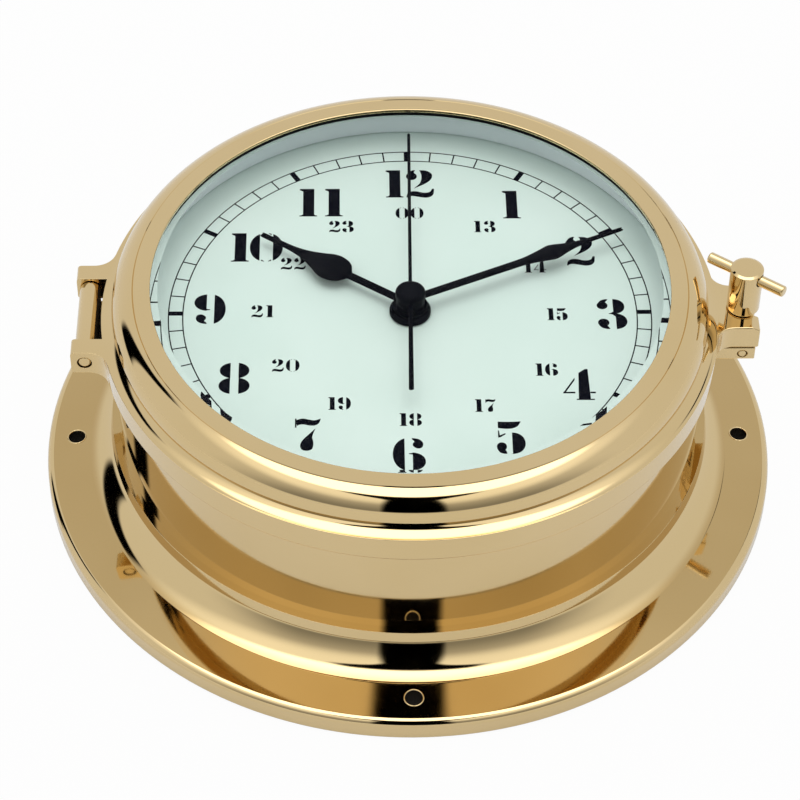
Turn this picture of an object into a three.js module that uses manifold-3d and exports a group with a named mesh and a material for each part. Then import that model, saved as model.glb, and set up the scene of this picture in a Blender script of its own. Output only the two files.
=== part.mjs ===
// Marine clock in polished brass: a wall flange carries a drum case, and a glazed bezel hinged at
// nine o'clock is held shut by a swing bolt at three o'clock. A battery movement drives three hands.
// Millimetres. +Z points out of the dial, +Y to twelve o'clock, z = 0 is the back of the flange.
import * as THREE from 'three';
import { mergeVertices, toCreasedNormals } from 'three/addons/utils/BufferGeometryUtils.js';
import Module from 'manifold-3d';

const wasm = await Module();
wasm.setup();

// Clearances
const GAP = 0.3;
const RUNNING = 0.3;
const PUSH_FIT = 0.1;

// Case: radii step in and out from the drum, heights stack up from the back face
const DRUM_RADIUS = 83.5;
const DRUM_WALL = 4;
const STEP_WIDTH = 2.5;
const STEP_RISE = 13.6;
const RIM_HEIGHT = 2.8;
const RIM_TAPER = 0.4;
const COVE_WIDTH = 6;
const COVE_RADIUS = 13.4;
const COVE_FOOT_TILT = 6;
const COVE_HEAD_TILT = 60;
const FLANGE_WIDTH = 13;
const FLANGE_THICKNESS = 7;
const FLANGE_ROUND = 2;
const FOOT_CHAMFER = 0.8;
const DRUM_RISE = 30.9;
const SHOULDER_WIDTH = 4.5;
const NECK_RISE = 10.5;
const NECK_WALL = 1.4;
const DIAL_SEAT_RISE = 3.6;
const DIAL_SEAT_WIDTH = 3.1;
const SCREW_HOLE_RADIUS = 2.6;
const SCREW_CHAMFER = 0.65;
const SCREW_EDGE_DISTANCE = 9;

// Bezel
const SKIRT_OVERHANG = 2.6;
const SKIRT_WALL = 4.2;
const SKIRT_HEIGHT = 7.6;
const BEZEL_COVE = 6;
const ROLL_RADIUS = 7.5;
const ROLL_SETBACK = 3;
const ROLL_RISE = 3;
const FACE_WIDTH = 3.6;
const LIP_THICKNESS = 1;
const NECK_CLEARANCE = 0.8;
const SKIRT_RECESS = 3.7;
const GLASS_REBATE = 3.2;

// Glass and the rings that hold it
const GLASS_THICKNESS = 2.5;
const GLASS_EDGE = 1.5;
const GLASS_BEVEL = 4;
const GASKET_WIDTH = 2.2;
const GASKET_THICKNESS = 0.6;
const RETAINER_WIDTH = 3.3;
const RETAINER_THICKNESS = 0.8;
const SEAL_WIDTH = 1.6;
const REFLECTOR_LIP = 0.7;
const REFLECTOR_WALL = 1.1;

// Hinge at nine o'clock
const HINGE_OFFSET = 3.9;
const HINGE_BARREL_RADIUS = 3;
const HINGE_BARREL_HALF = 11.6;
const HINGE_ARM_WIDTH = 5.5;
const HINGE_ARM_FILLET = 6;
const HINGE_PIN_RADIUS = 1.75;
const GUSSET_DROP = 6;

// Swing bolt latch at three o'clock
const BOLT_OFFSET = 6.9;
const BOLT_RADIUS = 2.7;
const ARM_CORNER = 0.8;
const LUG_HALF = 8.7;
const LUG_REACH = 4.3;
const LUG_FILLET = 5;
const LUG_CHAMFER = 1;
const CLEVIS_HALF = 8.6;
const CLEVIS_REACH = 3.6;
const CLEVIS_HEIGHT = 4.7;
const PIVOT_RADIUS = 1.2;
const NUT_RADIUS = 4.6;
const NUT_HEIGHT = 14.6;
const NUT_CHAMFER = 0.8;
const NUT_CROWN = 4.7;
const BAR_RADIUS = 1.4;
const BAR_LENGTH = 24;
const BAR_DROP = 2.5;
const BAR_ANGLE = -36;

// Dial and hands
const DIAL_THICKNESS = 0.8;
const BUSH_RADIUS = 4;
const BUSH_WALL = 0.9;
const BUSH_RISE = 2.3;
const WASHER_RADIUS = 8;
const WASHER_THICKNESS = 0.9;
const FIXING_NUT_RADIUS = 5.8;
const FIXING_NUT_HEIGHT = 1.9;
const HUB_RADIUS = 4;
const HUB_HEIGHT = 1.5;
const CAP_HEIGHT = 2.6;
const BLADE_THICKNESS = 0.5;
const HOUR_LENGTH = 50.5;
const MINUTE_LENGTH = 67;
const SECONDS_LENGTH = 67.9;
const SECONDS_TAIL = 36.5;
const HOUR_ANGLE = 304.3;
const MINUTE_ANGLE = 65;
const SECONDS_ANGLE = 0.5;

// Movement housing: its room follows from the battery and the motor
const HOUSING_WALL = 1.5;
const COVER_THICKNESS = 1.2;
const PARTITION_WALL = 1.1;
const BATTERY_RADIUS = 7.1;
const BATTERY_LENGTH = 50;
const BATTERY_CLEARANCE = 0.5;
const BATTERY_DEPTH_CLEARANCE = 1.15;
const CONTACT_THICKNESS = 0.6;
const CONTACT_CLEARANCE = 0.6;

// Gear train: tooth counts, modules and the bearings of the arbors
const FAST_MODULE = 0.6;
const SLOW_MODULE = 0.46;
const SETTING_MODULE = 0.55;
const ROTOR_LEAVES = 6;
const INTERMEDIATE_TEETH = 30;
const INTERMEDIATE_LEAVES = 6;
const SECONDS_TEETH = 36;
const SECONDS_LEAVES = 6;
const THIRD_TEETH = 45;
const THIRD_LEAVES = 6;
const CENTRE_TEETH = 48;
const MINUTE_LEAVES = 10;
const MOTION_TEETH = 30;
const MOTION_LEAVES = 8;
const HOUR_TEETH = 32;
const SETTING_LEAVES = 10;
const WHEEL_THICKNESS = 0.8;
const PINION_THICKNESS = 1.4;
const ARBOR_RADIUS = 0.6;
const SECONDS_ARBOR_RADIUS = 0.8;
const PIPE_WALL = 0.7;

// Round pieces are turned with these numbers of sides
const RING_SIDES = 48;
const INNER_SIDES = 36;
const ROD_SIDES = 16;

// Derived sizes of the case and bezel
const STEP_RADIUS = DRUM_RADIUS + STEP_WIDTH;
const FLANGE_FLAT_RADIUS = STEP_RADIUS + COVE_WIDTH;
const FLANGE_RADIUS = FLANGE_FLAT_RADIUS + FLANGE_WIDTH;
const BORE_RADIUS = DRUM_RADIUS - DRUM_WALL;
const STEP_TOP = FLANGE_THICKNESS + STEP_RISE;
const SHOULDER_Z = STEP_TOP + DRUM_RISE;
const NECK_RADIUS = DRUM_RADIUS - SHOULDER_WIDTH;
const NECK_TOP = SHOULDER_Z + NECK_RISE;
const NECK_BORE = NECK_RADIUS - NECK_WALL;
const DIAL_SEAT_Z = SHOULDER_Z + DIAL_SEAT_RISE;
const SKIRT_RADIUS = DRUM_RADIUS + SKIRT_OVERHANG;
const SKIRT_BORE = SKIRT_RADIUS - SKIRT_WALL;
const SKIRT_Z = SHOULDER_Z + GAP;
const LIP_Z = SKIRT_Z + SKIRT_HEIGHT;
const ROLL_Z = LIP_Z + ROLL_RISE;
const ROLL_CENTRE = SKIRT_RADIUS - ROLL_SETBACK - ROLL_RADIUS;
const FACE_Z = ROLL_Z + ROLL_RADIUS + 0.1;
const OPENING_RADIUS = ROLL_CENTRE - FACE_WIDTH;
const GLASS_POCKET = OPENING_RADIUS + GLASS_REBATE;
const LIP_UNDER_Z = FACE_Z - LIP_THICKNESS;
const GLASS_TOP_Z = LIP_UNDER_Z;
const GLASS_EDGE_Z = GLASS_TOP_Z - GLASS_THICKNESS + GLASS_EDGE;
const GLASS_BOTTOM_Z = GLASS_TOP_Z - GLASS_THICKNESS;
const RETAINER_RADIUS = GLASS_POCKET + 1.3;
const RETAINER_TOP_Z = GLASS_BOTTOM_Z - GAP;
const RETAINER_Z = RETAINER_TOP_Z - RETAINER_THICKNESS;
const CEILING_Z = RETAINER_Z - 0.2;
const REFLECTOR_TOP_Z = NECK_TOP + GAP + REFLECTOR_LIP;

// Derived sizes of the hinge and latch
const HINGE_X = -(SKIRT_RADIUS + HINGE_OFFSET);
const HINGE_Z = SKIRT_Z + SKIRT_HEIGHT / 2;
const ARM_INNER = HINGE_BARREL_HALF + GAP;
const ARM_OUTER = ARM_INNER + HINGE_ARM_WIDTH;
const HINGE_BORE = HINGE_PIN_RADIUS + RUNNING;
const BOLT_X = SKIRT_RADIUS + BOLT_OFFSET;
const SLOT_HALF = BOLT_RADIUS + GAP;
const PIVOT_Z = SHOULDER_Z - CLEVIS_HEIGHT / 2;
const NUT_Z = LIP_Z + GAP;
const NUT_TOP_Z = NUT_Z + NUT_HEIGHT;
const BOLT_TOP_Z = NUT_TOP_Z - NUT_CROWN - 0.4;
const BAR_Z = NUT_TOP_Z - BAR_DROP;

// Derived heights of the dial and hands
const DIAL_Z = DIAL_SEAT_Z + GAP;
const DIAL_TOP_Z = DIAL_Z + DIAL_THICKNESS;
const WASHER_TOP_Z = DIAL_Z - GAP;
const FRONT_Z = WASHER_TOP_Z - WASHER_THICKNESS - GAP;
const FIXING_NUT_Z = DIAL_TOP_Z + GAP;
const BUSH_TOP_Z = DIAL_TOP_Z + BUSH_RISE;
const HOUR_Z = BUSH_TOP_Z + 0.4;
const MINUTE_Z = HOUR_Z + HUB_HEIGHT + GAP;
const SECONDS_Z = MINUTE_Z + HUB_HEIGHT + GAP;

// Nested arbors: the seconds arbor turns in the minute pipe, and that in the hour pipe
const MINUTE_BORE = SECONDS_ARBOR_RADIUS + RUNNING;
const MINUTE_PIPE_RADIUS = MINUTE_BORE + PIPE_WALL;
const HOUR_BORE = MINUTE_PIPE_RADIUS + RUNNING;
const HOUR_PIPE_RADIUS = HOUR_BORE + PIPE_WALL;

// Levels of the wheels, counted down from the housing's inner front face
const HOUSING_DEPTH = HOUSING_WALL + 2 * (BATTERY_RADIUS + BATTERY_DEPTH_CLEARANCE);
const INNER_FRONT_Z = FRONT_Z - HOUSING_WALL;
const REAR_Z = FRONT_Z - HOUSING_DEPTH;
const COVER_TOP_Z = REAR_Z - GAP;
const PINION_OVERHANG = (PINION_THICKNESS - WHEEL_THICKNESS) / 2;
const LEVEL_PITCH = WHEEL_THICKNESS + 1.2;
const HOUR_LEVEL = INNER_FRONT_Z - 0.5 - WHEEL_THICKNESS;
const MOTION_LEVEL = HOUR_LEVEL - LEVEL_PITCH;
const CENTRE_LEVEL = MOTION_LEVEL - LEVEL_PITCH - GAP;
const THIRD_LEVEL = CENTRE_LEVEL - LEVEL_PITCH;
const SECONDS_LEVEL = THIRD_LEVEL - LEVEL_PITCH;
const INTERMEDIATE_LEVEL = SECONDS_LEVEL - LEVEL_PITCH;
const MOTOR_Z = (CENTRE_LEVEL + SECONDS_LEVEL) / 2;
const PIVOT_TOP_Z = INNER_FRONT_Z - GAP;
const PIVOT_BOTTOM_Z = COVER_TOP_Z + GAP;

// Places of the arbors in plan
const THIRD_DISTANCE = (CENTRE_TEETH + THIRD_LEAVES) * SLOW_MODULE / 2;
const THIRD_MODULE = 2 * THIRD_DISTANCE / (THIRD_TEETH + SECONDS_LEAVES);
const SETTING_DISTANCE = (MINUTE_LEAVES + MOTION_TEETH) * SETTING_MODULE / 2;
const CENTRE = new THREE.Vector2(0, 0);
const THIRD = along(CENTRE, THIRD_DISTANCE, 180);
const INTERMEDIATE = along(CENTRE, (SECONDS_TEETH + INTERMEDIATE_LEAVES) * FAST_MODULE / 2, 20);
const ROTOR = along(INTERMEDIATE, (INTERMEDIATE_TEETH + ROTOR_LEAVES) * FAST_MODULE / 2, 40);
const MOTION = along(CENTRE, SETTING_DISTANCE, 90);
const SETTING = along(MOTION, (MOTION_TEETH + SETTING_LEAVES) * SETTING_MODULE / 2, 130);

// Stepping motor and circuit
const MAGNET_RADIUS = 3;
const MAGNET_HEIGHT = 3.5;
const STATOR_THICKNESS = 1;
const STATOR_RING = 2.6;
const COIL_RADIUS = 3.2;
const COIL_LENGTH = 15;
const CORE_HALF = 0.9;
const BOARD_THICKNESS = 1;
const BOARD_WIDTH = 13;
const BOARD_HEIGHT = 7.4;
const KNOB_RADIUS = 4.4;
const KNOB_HEIGHT = 3;

// The housing closes round the train, the motor and the battery bay
const STATOR_BORE = MAGNET_RADIUS + 0.5;
const STATOR_RADIUS = STATOR_BORE + STATOR_RING;
const COIL_Y = ROTOR.y + STATOR_RADIUS + GAP + COIL_RADIUS;
const BATTERY_ROOM = BATTERY_LENGTH / 2 + GAP + CONTACT_THICKNESS + CONTACT_CLEARANCE;
const HOUSING_HALF = Math.max(BATTERY_ROOM, ROTOR.x + STATOR_RADIUS + GAP) + HOUSING_WALL;
const HOUSING_TOP = COIL_Y + COIL_RADIUS + GAP + HOUSING_WALL;
const PARTITION_Y = -(THIRD_TEETH / 2 + 1) * THIRD_MODULE - GAP;
const BATTERY_Y = PARTITION_Y - PARTITION_WALL - BATTERY_CLEARANCE - BATTERY_RADIUS;
const HOUSING_BOTTOM = BATTERY_RADIUS + BATTERY_CLEARANCE + HOUSING_WALL - BATTERY_Y;

// Finishes: each piece gets a material of its own
const finish = (color, roughness, metalness, extra) =>
  new THREE.MeshStandardMaterial({ color, roughness, metalness, ...extra });
const brass = () => finish('#ddc68b', 0.12, 1);
const gearBrass = () => finish('#c9a85c', 0.35, 1);
const blackLacquer = () => finish('#0a0a12', 0.35, 0);
const rubber = () => finish('#17181a', 0.9, 0);
const steel = () => finish('#b9bcc0', 0.3, 1);
const blackPlastic = () => finish('#232529', 0.55, 0);
const whitePlastic = () => finish('#e4e2da', 0.5, 0);

function along(from, distance, degrees) {
  const angle = THREE.MathUtils.degToRad(degrees);
  return new THREE.Vector2(Math.cos(angle), Math.sin(angle)).multiplyScalar(distance).add(from);
}

// Turns a closed geometry into a solid that faces out, ready to be joined and cut
function solid(geometry) {
  geometry.deleteAttribute('normal');
  geometry.deleteAttribute('uv');
  const merged = mergeVertices(geometry, 1e-4);
  const index = merged.index.array;
  const triangles = [];
  for (let i = 0; i < index.length; i += 3) {
    const [a, b, c] = [index[i], index[i + 1], index[i + 2]];
    if (a !== b && b !== c && c !== a) triangles.push(a, b, c);
  }
  const vertProperties = Float32Array.from(merged.attributes.position.array);
  const build = (list) =>
    new wasm.Manifold(new wasm.Mesh({ numProp: 3, vertProperties, triVerts: Uint32Array.from(list) }));
  const body = build(triangles);
  return body.volume() > 0 ? body : build(triangles.reverse());
}

function points(list) {
  return list.map(([x, y]) => new THREE.Vector2(x, y));
}

function arc(x, y, radius, from, to, steps) {
  const list = [];
  for (let i = 0; i <= steps; i += 1) {
    const angle = THREE.MathUtils.degToRad(from + (to - from) * i / steps);
    list.push([x + radius * Math.cos(angle), y + radius * Math.sin(angle)]);
  }
  return list;
}

// Turned piece: a closed profile of radius and height, spun about Z
function turned(profile, sides = INNER_SIDES) {
  const closed = profile[0][0] === 0 ? profile : [...profile, profile[0]];
  return solid(new THREE.LatheGeometry(points(closed), sides).rotateX(Math.PI / 2));
}

function ring(outer, inner, low, high, sides = INNER_SIDES) {
  return turned([[inner, low], [outer, low], [outer, high], [inner, high]], sides);
}

function rod(radius, low, high, sides = ROD_SIDES) {
  return turned([[0, low], [radius, low], [radius, high], [0, high]], sides);
}

function rodAlong(axis, radius, half, x, y, z, sides = ROD_SIDES) {
  const geometry = new THREE.CylinderGeometry(radius, radius, 2 * half, sides);
  if (axis === 'x') geometry.rotateZ(Math.PI / 2);
  return solid(geometry.translate(x, y, z));
}

function block(x0, x1, y0, y1, z0, z1) {
  const geometry = new THREE.BoxGeometry(x1 - x0, y1 - y0, z1 - z0);
  return solid(geometry.translate((x0 + x1) / 2, (y0 + y1) / 2, (z0 + z1) / 2));
}

// Plate of an outline in plan, from one height to another
function plate(outline, low, high) {
  const shape = new THREE.Shape(points(outline));
  const geometry = new THREE.ExtrudeGeometry(shape, { depth: high - low, bevelEnabled: false });
  return solid(geometry.translate(0, 0, low));
}

// Plate of an outline in x and z, from one y to another
function sidePlate(outline, low, high) {
  const shape = new THREE.Shape(points(outline));
  const geometry = new THREE.ExtrudeGeometry(shape, { depth: high - low, bevelEnabled: false });
  return solid(geometry.rotateX(Math.PI / 2).translate(0, high, 0));
}

function union(first, ...others) {
  return others.reduce((body, other) => body.add(other), first);
}

function cut(first, ...others) {
  return others.reduce((body, other) => body.subtract(other), first);
}

function piece(name, body, material, place = CENTRE, turn = 0) {
  const { vertProperties, triVerts } = body.getMesh();
  const geometry = new THREE.BufferGeometry();
  geometry.setAttribute('position', new THREE.BufferAttribute(Float32Array.from(vertProperties), 3));
  geometry.setIndex(new THREE.BufferAttribute(Uint32Array.from(triVerts), 1));
  const mesh = new THREE.Mesh(toCreasedNormals(geometry, 0.6), material);
  mesh.name = name;
  mesh.position.set(place.x, place.y, 0);
  mesh.rotation.z = turn;
  return mesh;
}

// Plan of a lug that grows out of a ring with a hollow fillet on its outer side
function lugOutline(inner, outer, reach, fillet, ringRadius) {
  const centreY = outer + fillet;
  const centreX = Math.sqrt((ringRadius + fillet) ** 2 - centreY ** 2);
  const end = THREE.MathUtils.radToDeg(Math.atan2(centreY, centreX)) - 180;
  const root = ringRadius - SKIRT_WALL;
  const foot = Math.sqrt(root ** 2 - inner ** 2) - 3;
  return [
    [foot, inner], [reach, inner], [reach, outer],
    ...arc(centreX, centreY, fillet, -90, end, 5),
    [foot, centreY],
  ];
}

const mirrorX = (outline) => outline.map(([x, y]) => [-x, y]).reverse();
const mirrorY = (outline) => outline.map(([x, y]) => [x, -y]).reverse();

function caseProfile() {
  const foot = THREE.MathUtils.degToRad(COVE_FOOT_TILT);
  const coveX = FLANGE_FLAT_RADIUS + COVE_RADIUS * Math.sin(foot);
  const coveZ = FLANGE_THICKNESS + COVE_RADIUS * Math.cos(foot);
  const cove = arc(coveX, coveZ, COVE_RADIUS, 270 - COVE_FOOT_TILT, 270 - COVE_HEAD_TILT, 5);
  const rimUnderside = STEP_TOP - RIM_HEIGHT;
  return [
    [BORE_RADIUS, 0],
    [FLANGE_RADIUS - FOOT_CHAMFER, 0],
    [FLANGE_RADIUS, FOOT_CHAMFER],
    ...arc(FLANGE_RADIUS - FLANGE_ROUND, FLANGE_THICKNESS - FLANGE_ROUND, FLANGE_ROUND, 0, 90, 2),
    ...cove,
    [cove[cove.length - 1][0], rimUnderside],
    [STEP_RADIUS, rimUnderside],
    [STEP_RADIUS - RIM_TAPER, STEP_TOP],
    [DRUM_RADIUS, STEP_TOP],
    [DRUM_RADIUS, SHOULDER_Z],
    [NECK_RADIUS, SHOULDER_Z],
    [NECK_RADIUS, NECK_TOP],
    [NECK_BORE, NECK_TOP],
    [NECK_BORE, DIAL_SEAT_Z],
    [NECK_BORE - DIAL_SEAT_WIDTH, DIAL_SEAT_Z],
    [NECK_BORE - DIAL_SEAT_WIDTH, SHOULDER_Z],
    [BORE_RADIUS, SHOULDER_Z - DRUM_WALL],
  ];
}

// Gusset and barrel that carry the hinge pin on the side of the drum
function hingeBarrel() {
  const wallX = -(DRUM_RADIUS - 0.5 * DRUM_WALL);
  const web = [
    [wallX, SHOULDER_Z - GAP], [wallX, SHOULDER_Z - GUSSET_DROP],
    [HINGE_X - HINGE_BARREL_RADIUS * 0.9, HINGE_Z - HINGE_BARREL_RADIUS * 0.4],
    [HINGE_X, HINGE_Z], [HINGE_X + HINGE_BARREL_RADIUS * 0.9, SHOULDER_Z - GAP],
  ];
  const half = HINGE_BARREL_HALF;
  const barrel = rodAlong('y', HINGE_BARREL_RADIUS, half, HINGE_X, 0, HINGE_Z, 20);
  const drumInside = rod(DRUM_RADIUS - 0.4 * DRUM_WALL, SHOULDER_Z - 40, SHOULDER_Z + 10, RING_SIDES);
  return cut(union(sidePlate(web, -half, half), barrel), drumInside);
}

// Forked block on the drum that holds the bolt's pivot pin
function latchClevis() {
  const foot = DRUM_RADIUS - 0.9 * DRUM_WALL;
  const low = SHOULDER_Z - CLEVIS_HEIGHT;
  const reach = BOLT_X + CLEVIS_REACH;
  const body = block(foot, reach, -CLEVIS_HALF, CLEVIS_HALF, low, SHOULDER_Z);
  const slotEnd = BOLT_X - BOLT_RADIUS - 0.4;
  const slot = block(slotEnd, reach + 1, -SLOT_HALF, SLOT_HALF, low - 1, SHOULDER_Z + 1);
  const drumInside = rod(DRUM_RADIUS - 0.4 * DRUM_WALL, low - 1, SHOULDER_Z + 1, RING_SIDES);
  return cut(body, slot, drumInside);
}

function screwHole(degrees) {
  const at = along(CENTRE, FLANGE_RADIUS - SCREW_EDGE_DISTANCE, degrees);
  const wide = SCREW_HOLE_RADIUS + SCREW_CHAMFER;
  const profile = [
    [0, -1], [SCREW_HOLE_RADIUS, -1], [SCREW_HOLE_RADIUS, FLANGE_THICKNESS - SCREW_CHAMFER],
    [wide, FLANGE_THICKNESS], [wide, FLANGE_THICKNESS + 1], [0, FLANGE_THICKNESS + 1],
  ];
  const geometry = new THREE.LatheGeometry(points(profile), 14).rotateX(Math.PI / 2);
  return solid(geometry.translate(at.x, at.y, 0));
}

function makeCase() {
  const half = HINGE_BARREL_HALF + 1;
  const body = union(turned(caseProfile(), RING_SIDES), hingeBarrel(), latchClevis());
  const hingeBore = rodAlong('y', HINGE_BORE, half, HINGE_X, 0, HINGE_Z);
  const pivotBore = rodAlong('y', PIVOT_RADIUS + RUNNING, CLEVIS_HALF + 1, BOLT_X, 0, PIVOT_Z, 12);
  const holes = [0, 90, 180, 270].map(screwHole);
  return piece('case_body', cut(body, hingeBore, pivotBore, ...holes), brass());
}

function bezelProfile() {
  const neckBore = NECK_RADIUS + NECK_CLEARANCE;
  return [
    [OPENING_RADIUS, LIP_UNDER_Z],
    [OPENING_RADIUS, FACE_Z],
    ...arc(ROLL_CENTRE, ROLL_Z, ROLL_RADIUS, 85, 0, 6),
    ...arc(SKIRT_RADIUS, LIP_Z + BEZEL_COVE, BEZEL_COVE, 231, 270, 3),
    [SKIRT_RADIUS, SKIRT_Z],
    [SKIRT_BORE, SKIRT_Z],
    [SKIRT_BORE, SKIRT_Z + SKIRT_RECESS],
    [neckBore, SKIRT_Z + SKIRT_RECESS + SKIRT_BORE - neckBore],
    [neckBore, CEILING_Z],
    [RETAINER_RADIUS + GAP, CEILING_Z],
    [RETAINER_RADIUS + GAP, GLASS_BOTTOM_Z - 0.1],
    [GLASS_POCKET, GLASS_BOTTOM_Z - 0.1],
    [GLASS_POCKET, LIP_UNDER_Z],
  ];
}

// The two arms of the bezel that straddle the case's hinge barrel, with square ends
function hingeArms() {
  const round = SKIRT_HEIGHT / 2;
  const reach = -HINGE_X + round;
  const outline = mirrorX(lugOutline(ARM_INNER, ARM_OUTER, reach, HINGE_ARM_FILLET, SKIRT_RADIUS));
  const upper = plate(outline, SKIRT_Z, LIP_Z);
  const lower = plate(mirrorY(outline), SKIRT_Z, LIP_Z);
  const side = [
    [0, SKIRT_Z], [0, LIP_Z], [ARM_CORNER - reach, LIP_Z], [-reach, LIP_Z - ARM_CORNER],
    [-reach, SKIRT_Z + ARM_CORNER], [ARM_CORNER - reach, SKIRT_Z],
  ];
  const squared = sidePlate(side, -SKIRT_RADIUS, SKIRT_RADIUS);
  return union(upper, lower).intersect(squared);
}

// Forked lug under the nut: open slot for the bolt, tips relieved so that the nut can swing out
function latchLug() {
  const reach = BOLT_X + LUG_REACH;
  const half = lugOutline(0, LUG_HALF, reach, LUG_FILLET, SKIRT_RADIUS);
  const body = union(plate(half, SKIRT_Z, LIP_Z), plate(mirrorY(half), SKIRT_Z, LIP_Z));
  const slot = block(BOLT_X, reach + 1, -SLOT_HALF, SLOT_HALF, SKIRT_Z - 1, LIP_Z + 1);
  const seat = pinAt(new THREE.Vector2(BOLT_X, 0), SKIRT_Z - 1, LIP_Z + 1, SLOT_HALF, 16);
  const wedge = [
    [reach - 2, LIP_Z],
    [reach + 1, LIP_Z - 1.5 * LUG_CHAMFER],
    [reach + 1, LIP_Z + 1],
    [reach - 2, LIP_Z + 1],
  ];
  const relief = sidePlate(wedge, -2 * LUG_HALF, 2 * LUG_HALF);
  return cut(body, slot, seat, relief);
}

function makeBezel() {
  const inside = rod(SKIRT_BORE + 0.5, SKIRT_Z - 1, LIP_Z + 1, RING_SIDES);
  const attached = cut(union(hingeArms(), latchLug()), inside);
  const bore = rodAlong('y', HINGE_BORE, ARM_OUTER + 1, HINGE_X, 0, HINGE_Z);
  return piece('bezel', cut(union(turned(bezelProfile(), RING_SIDES), attached), bore), brass());
}

function makeHingePin() {
  return piece('hinge_pin', rodAlong('y', HINGE_PIN_RADIUS, ARM_OUTER - 0.2, HINGE_X, 0, HINGE_Z), brass());
}

function makePivotPin() {
  const pin = rodAlong('y', PIVOT_RADIUS, CLEVIS_HALF - 0.1, BOLT_X, 0, PIVOT_Z, 12);
  return piece('latch_pivot_pin', pin, brass());
}

// Bolt with an eye as wide as its shank, rounded about the pivot pin
function makeSwingBolt() {
  const place = new THREE.Vector2(BOLT_X, 0);
  const shank = rod(BOLT_RADIUS, PIVOT_Z, BOLT_TOP_Z, 20);
  const eye = rodAlong('y', BOLT_RADIUS, BOLT_RADIUS, 0, 0, PIVOT_Z, 20);
  const bore = rodAlong('y', PIVOT_RADIUS + RUNNING, BOLT_RADIUS + 1, 0, 0, PIVOT_Z, 12);
  return piece('swing_bolt', cut(union(shank, eye), bore), brass(), place);
}

function makeNut() {
  const inner = BOLT_RADIUS + RUNNING;
  const profile = [
    [inner, NUT_Z], [NUT_RADIUS, NUT_Z], [NUT_RADIUS, NUT_TOP_Z - NUT_CHAMFER],
    [NUT_RADIUS - NUT_CHAMFER, NUT_TOP_Z], [0, NUT_TOP_Z], [0, NUT_TOP_Z - NUT_CROWN],
    [inner, NUT_TOP_Z - NUT_CROWN],
  ];
  const body = solid(new THREE.LatheGeometry(points([...profile, profile[0]]), 20).rotateX(Math.PI / 2));
  const hole = rodAlong('x', BAR_RADIUS + GAP, NUT_RADIUS + 1, 0, 0, BAR_Z, 14);
  const turn = THREE.MathUtils.degToRad(BAR_ANGLE);
  return piece('latch_nut', cut(body, hole), brass(), new THREE.Vector2(BOLT_X, 0), turn);
}

function makeBar() {
  const turn = THREE.MathUtils.degToRad(BAR_ANGLE);
  const half = BAR_LENGTH / 2;
  const profile = [
    [0, -half], [BAR_RADIUS - 0.4, -half], [BAR_RADIUS, 0.4 - half],
    [BAR_RADIUS, half - 0.4], [BAR_RADIUS - 0.4, half], [0, half],
  ];
  const geometry = new THREE.LatheGeometry(points(profile), 14).rotateZ(Math.PI / 2);
  const body = solid(geometry.translate(0, 0, BAR_Z));
  return piece('tommy_bar', body, brass(), new THREE.Vector2(BOLT_X, 0), turn);
}

function makeGlass() {
  const radius = GLASS_POCKET - GAP;
  const bevelStart = OPENING_RADIUS + 0.4;
  const body = turned([
    [0, GLASS_BOTTOM_Z], [radius, GLASS_BOTTOM_Z], [radius, GLASS_EDGE_Z],
    [bevelStart, GLASS_EDGE_Z], [bevelStart - GLASS_BEVEL, GLASS_TOP_Z], [0, GLASS_TOP_Z],
  ], RING_SIDES);
  return piece('glass', body, finish('#eef4f2', 0.02, 0, { transparent: true, opacity: 0.3 }));
}

function makeGasket() {
  const outer = GLASS_POCKET - 0.4;
  const top = LIP_UNDER_Z - 0.2;
  const body = ring(outer, outer - GASKET_WIDTH, top - GASKET_THICKNESS, top);
  return piece('glass_gasket', body, rubber());
}

function makeRetainer() {
  const body = ring(RETAINER_RADIUS, RETAINER_RADIUS - RETAINER_WIDTH, RETAINER_Z, RETAINER_TOP_Z);
  return piece('glass_retaining_ring', body, blackPlastic());
}

function makeSeal() {
  const outer = NECK_RADIUS - 0.4;
  const body = ring(outer, outer - SEAL_WIDTH, REFLECTOR_TOP_Z + GAP, CEILING_Z - GAP);
  return piece('bezel_seal', body, rubber());
}

function makeReflector() {
  const outer = NECK_BORE - GAP;
  const inner = outer - REFLECTOR_WALL;
  const lip = NECK_RADIUS - 0.2;
  const body = turned([
    [inner, DIAL_TOP_Z + GAP], [outer, DIAL_TOP_Z + GAP], [outer, NECK_TOP + GAP],
    [lip, NECK_TOP + GAP], [lip, REFLECTOR_TOP_Z], [inner, REFLECTOR_TOP_Z],
  ]);
  return piece('reflector_ring', body, finish('#a9b6ba', 0.25, 1));
}

function makeDial() {
  const body = ring(NECK_BORE - GAP, BUSH_RADIUS + GAP, DIAL_Z, DIAL_TOP_Z);
  return piece('dial', body, finish('#d3e6e0', 0.6, 0));
}

function makeDialWasher() {
  const body = ring(WASHER_RADIUS, BUSH_RADIUS + GAP, FRONT_Z + GAP, WASHER_TOP_Z, 18);
  return piece('dial_washer', body, rubber());
}

function makeFixingNut() {
  const top = FIXING_NUT_Z + FIXING_NUT_HEIGHT;
  const body = ring(FIXING_NUT_RADIUS, BUSH_RADIUS + GAP, FIXING_NUT_Z, top, 20);
  return piece('fixing_nut', body, blackLacquer());
}

// Half outlines of the blades: half width against distance from the centre
function hourOutline() {
  const start = HUB_RADIUS - 1;
  const bulge = HOUR_LENGTH - 30;
  return [
    [1.2, start], [1.2, bulge], [2.2, bulge + 0.6], [3.5, bulge + 1.6], [4.5, bulge + 3.2],
    [5, bulge + 5.5], [4.5, bulge + 8.5], [3.5, bulge + 10.6], [2.4, bulge + 13.3], [1.5, bulge + 16.1],
    [1, bulge + 19.5], [0.7, HOUR_LENGTH],
  ];
}

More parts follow.
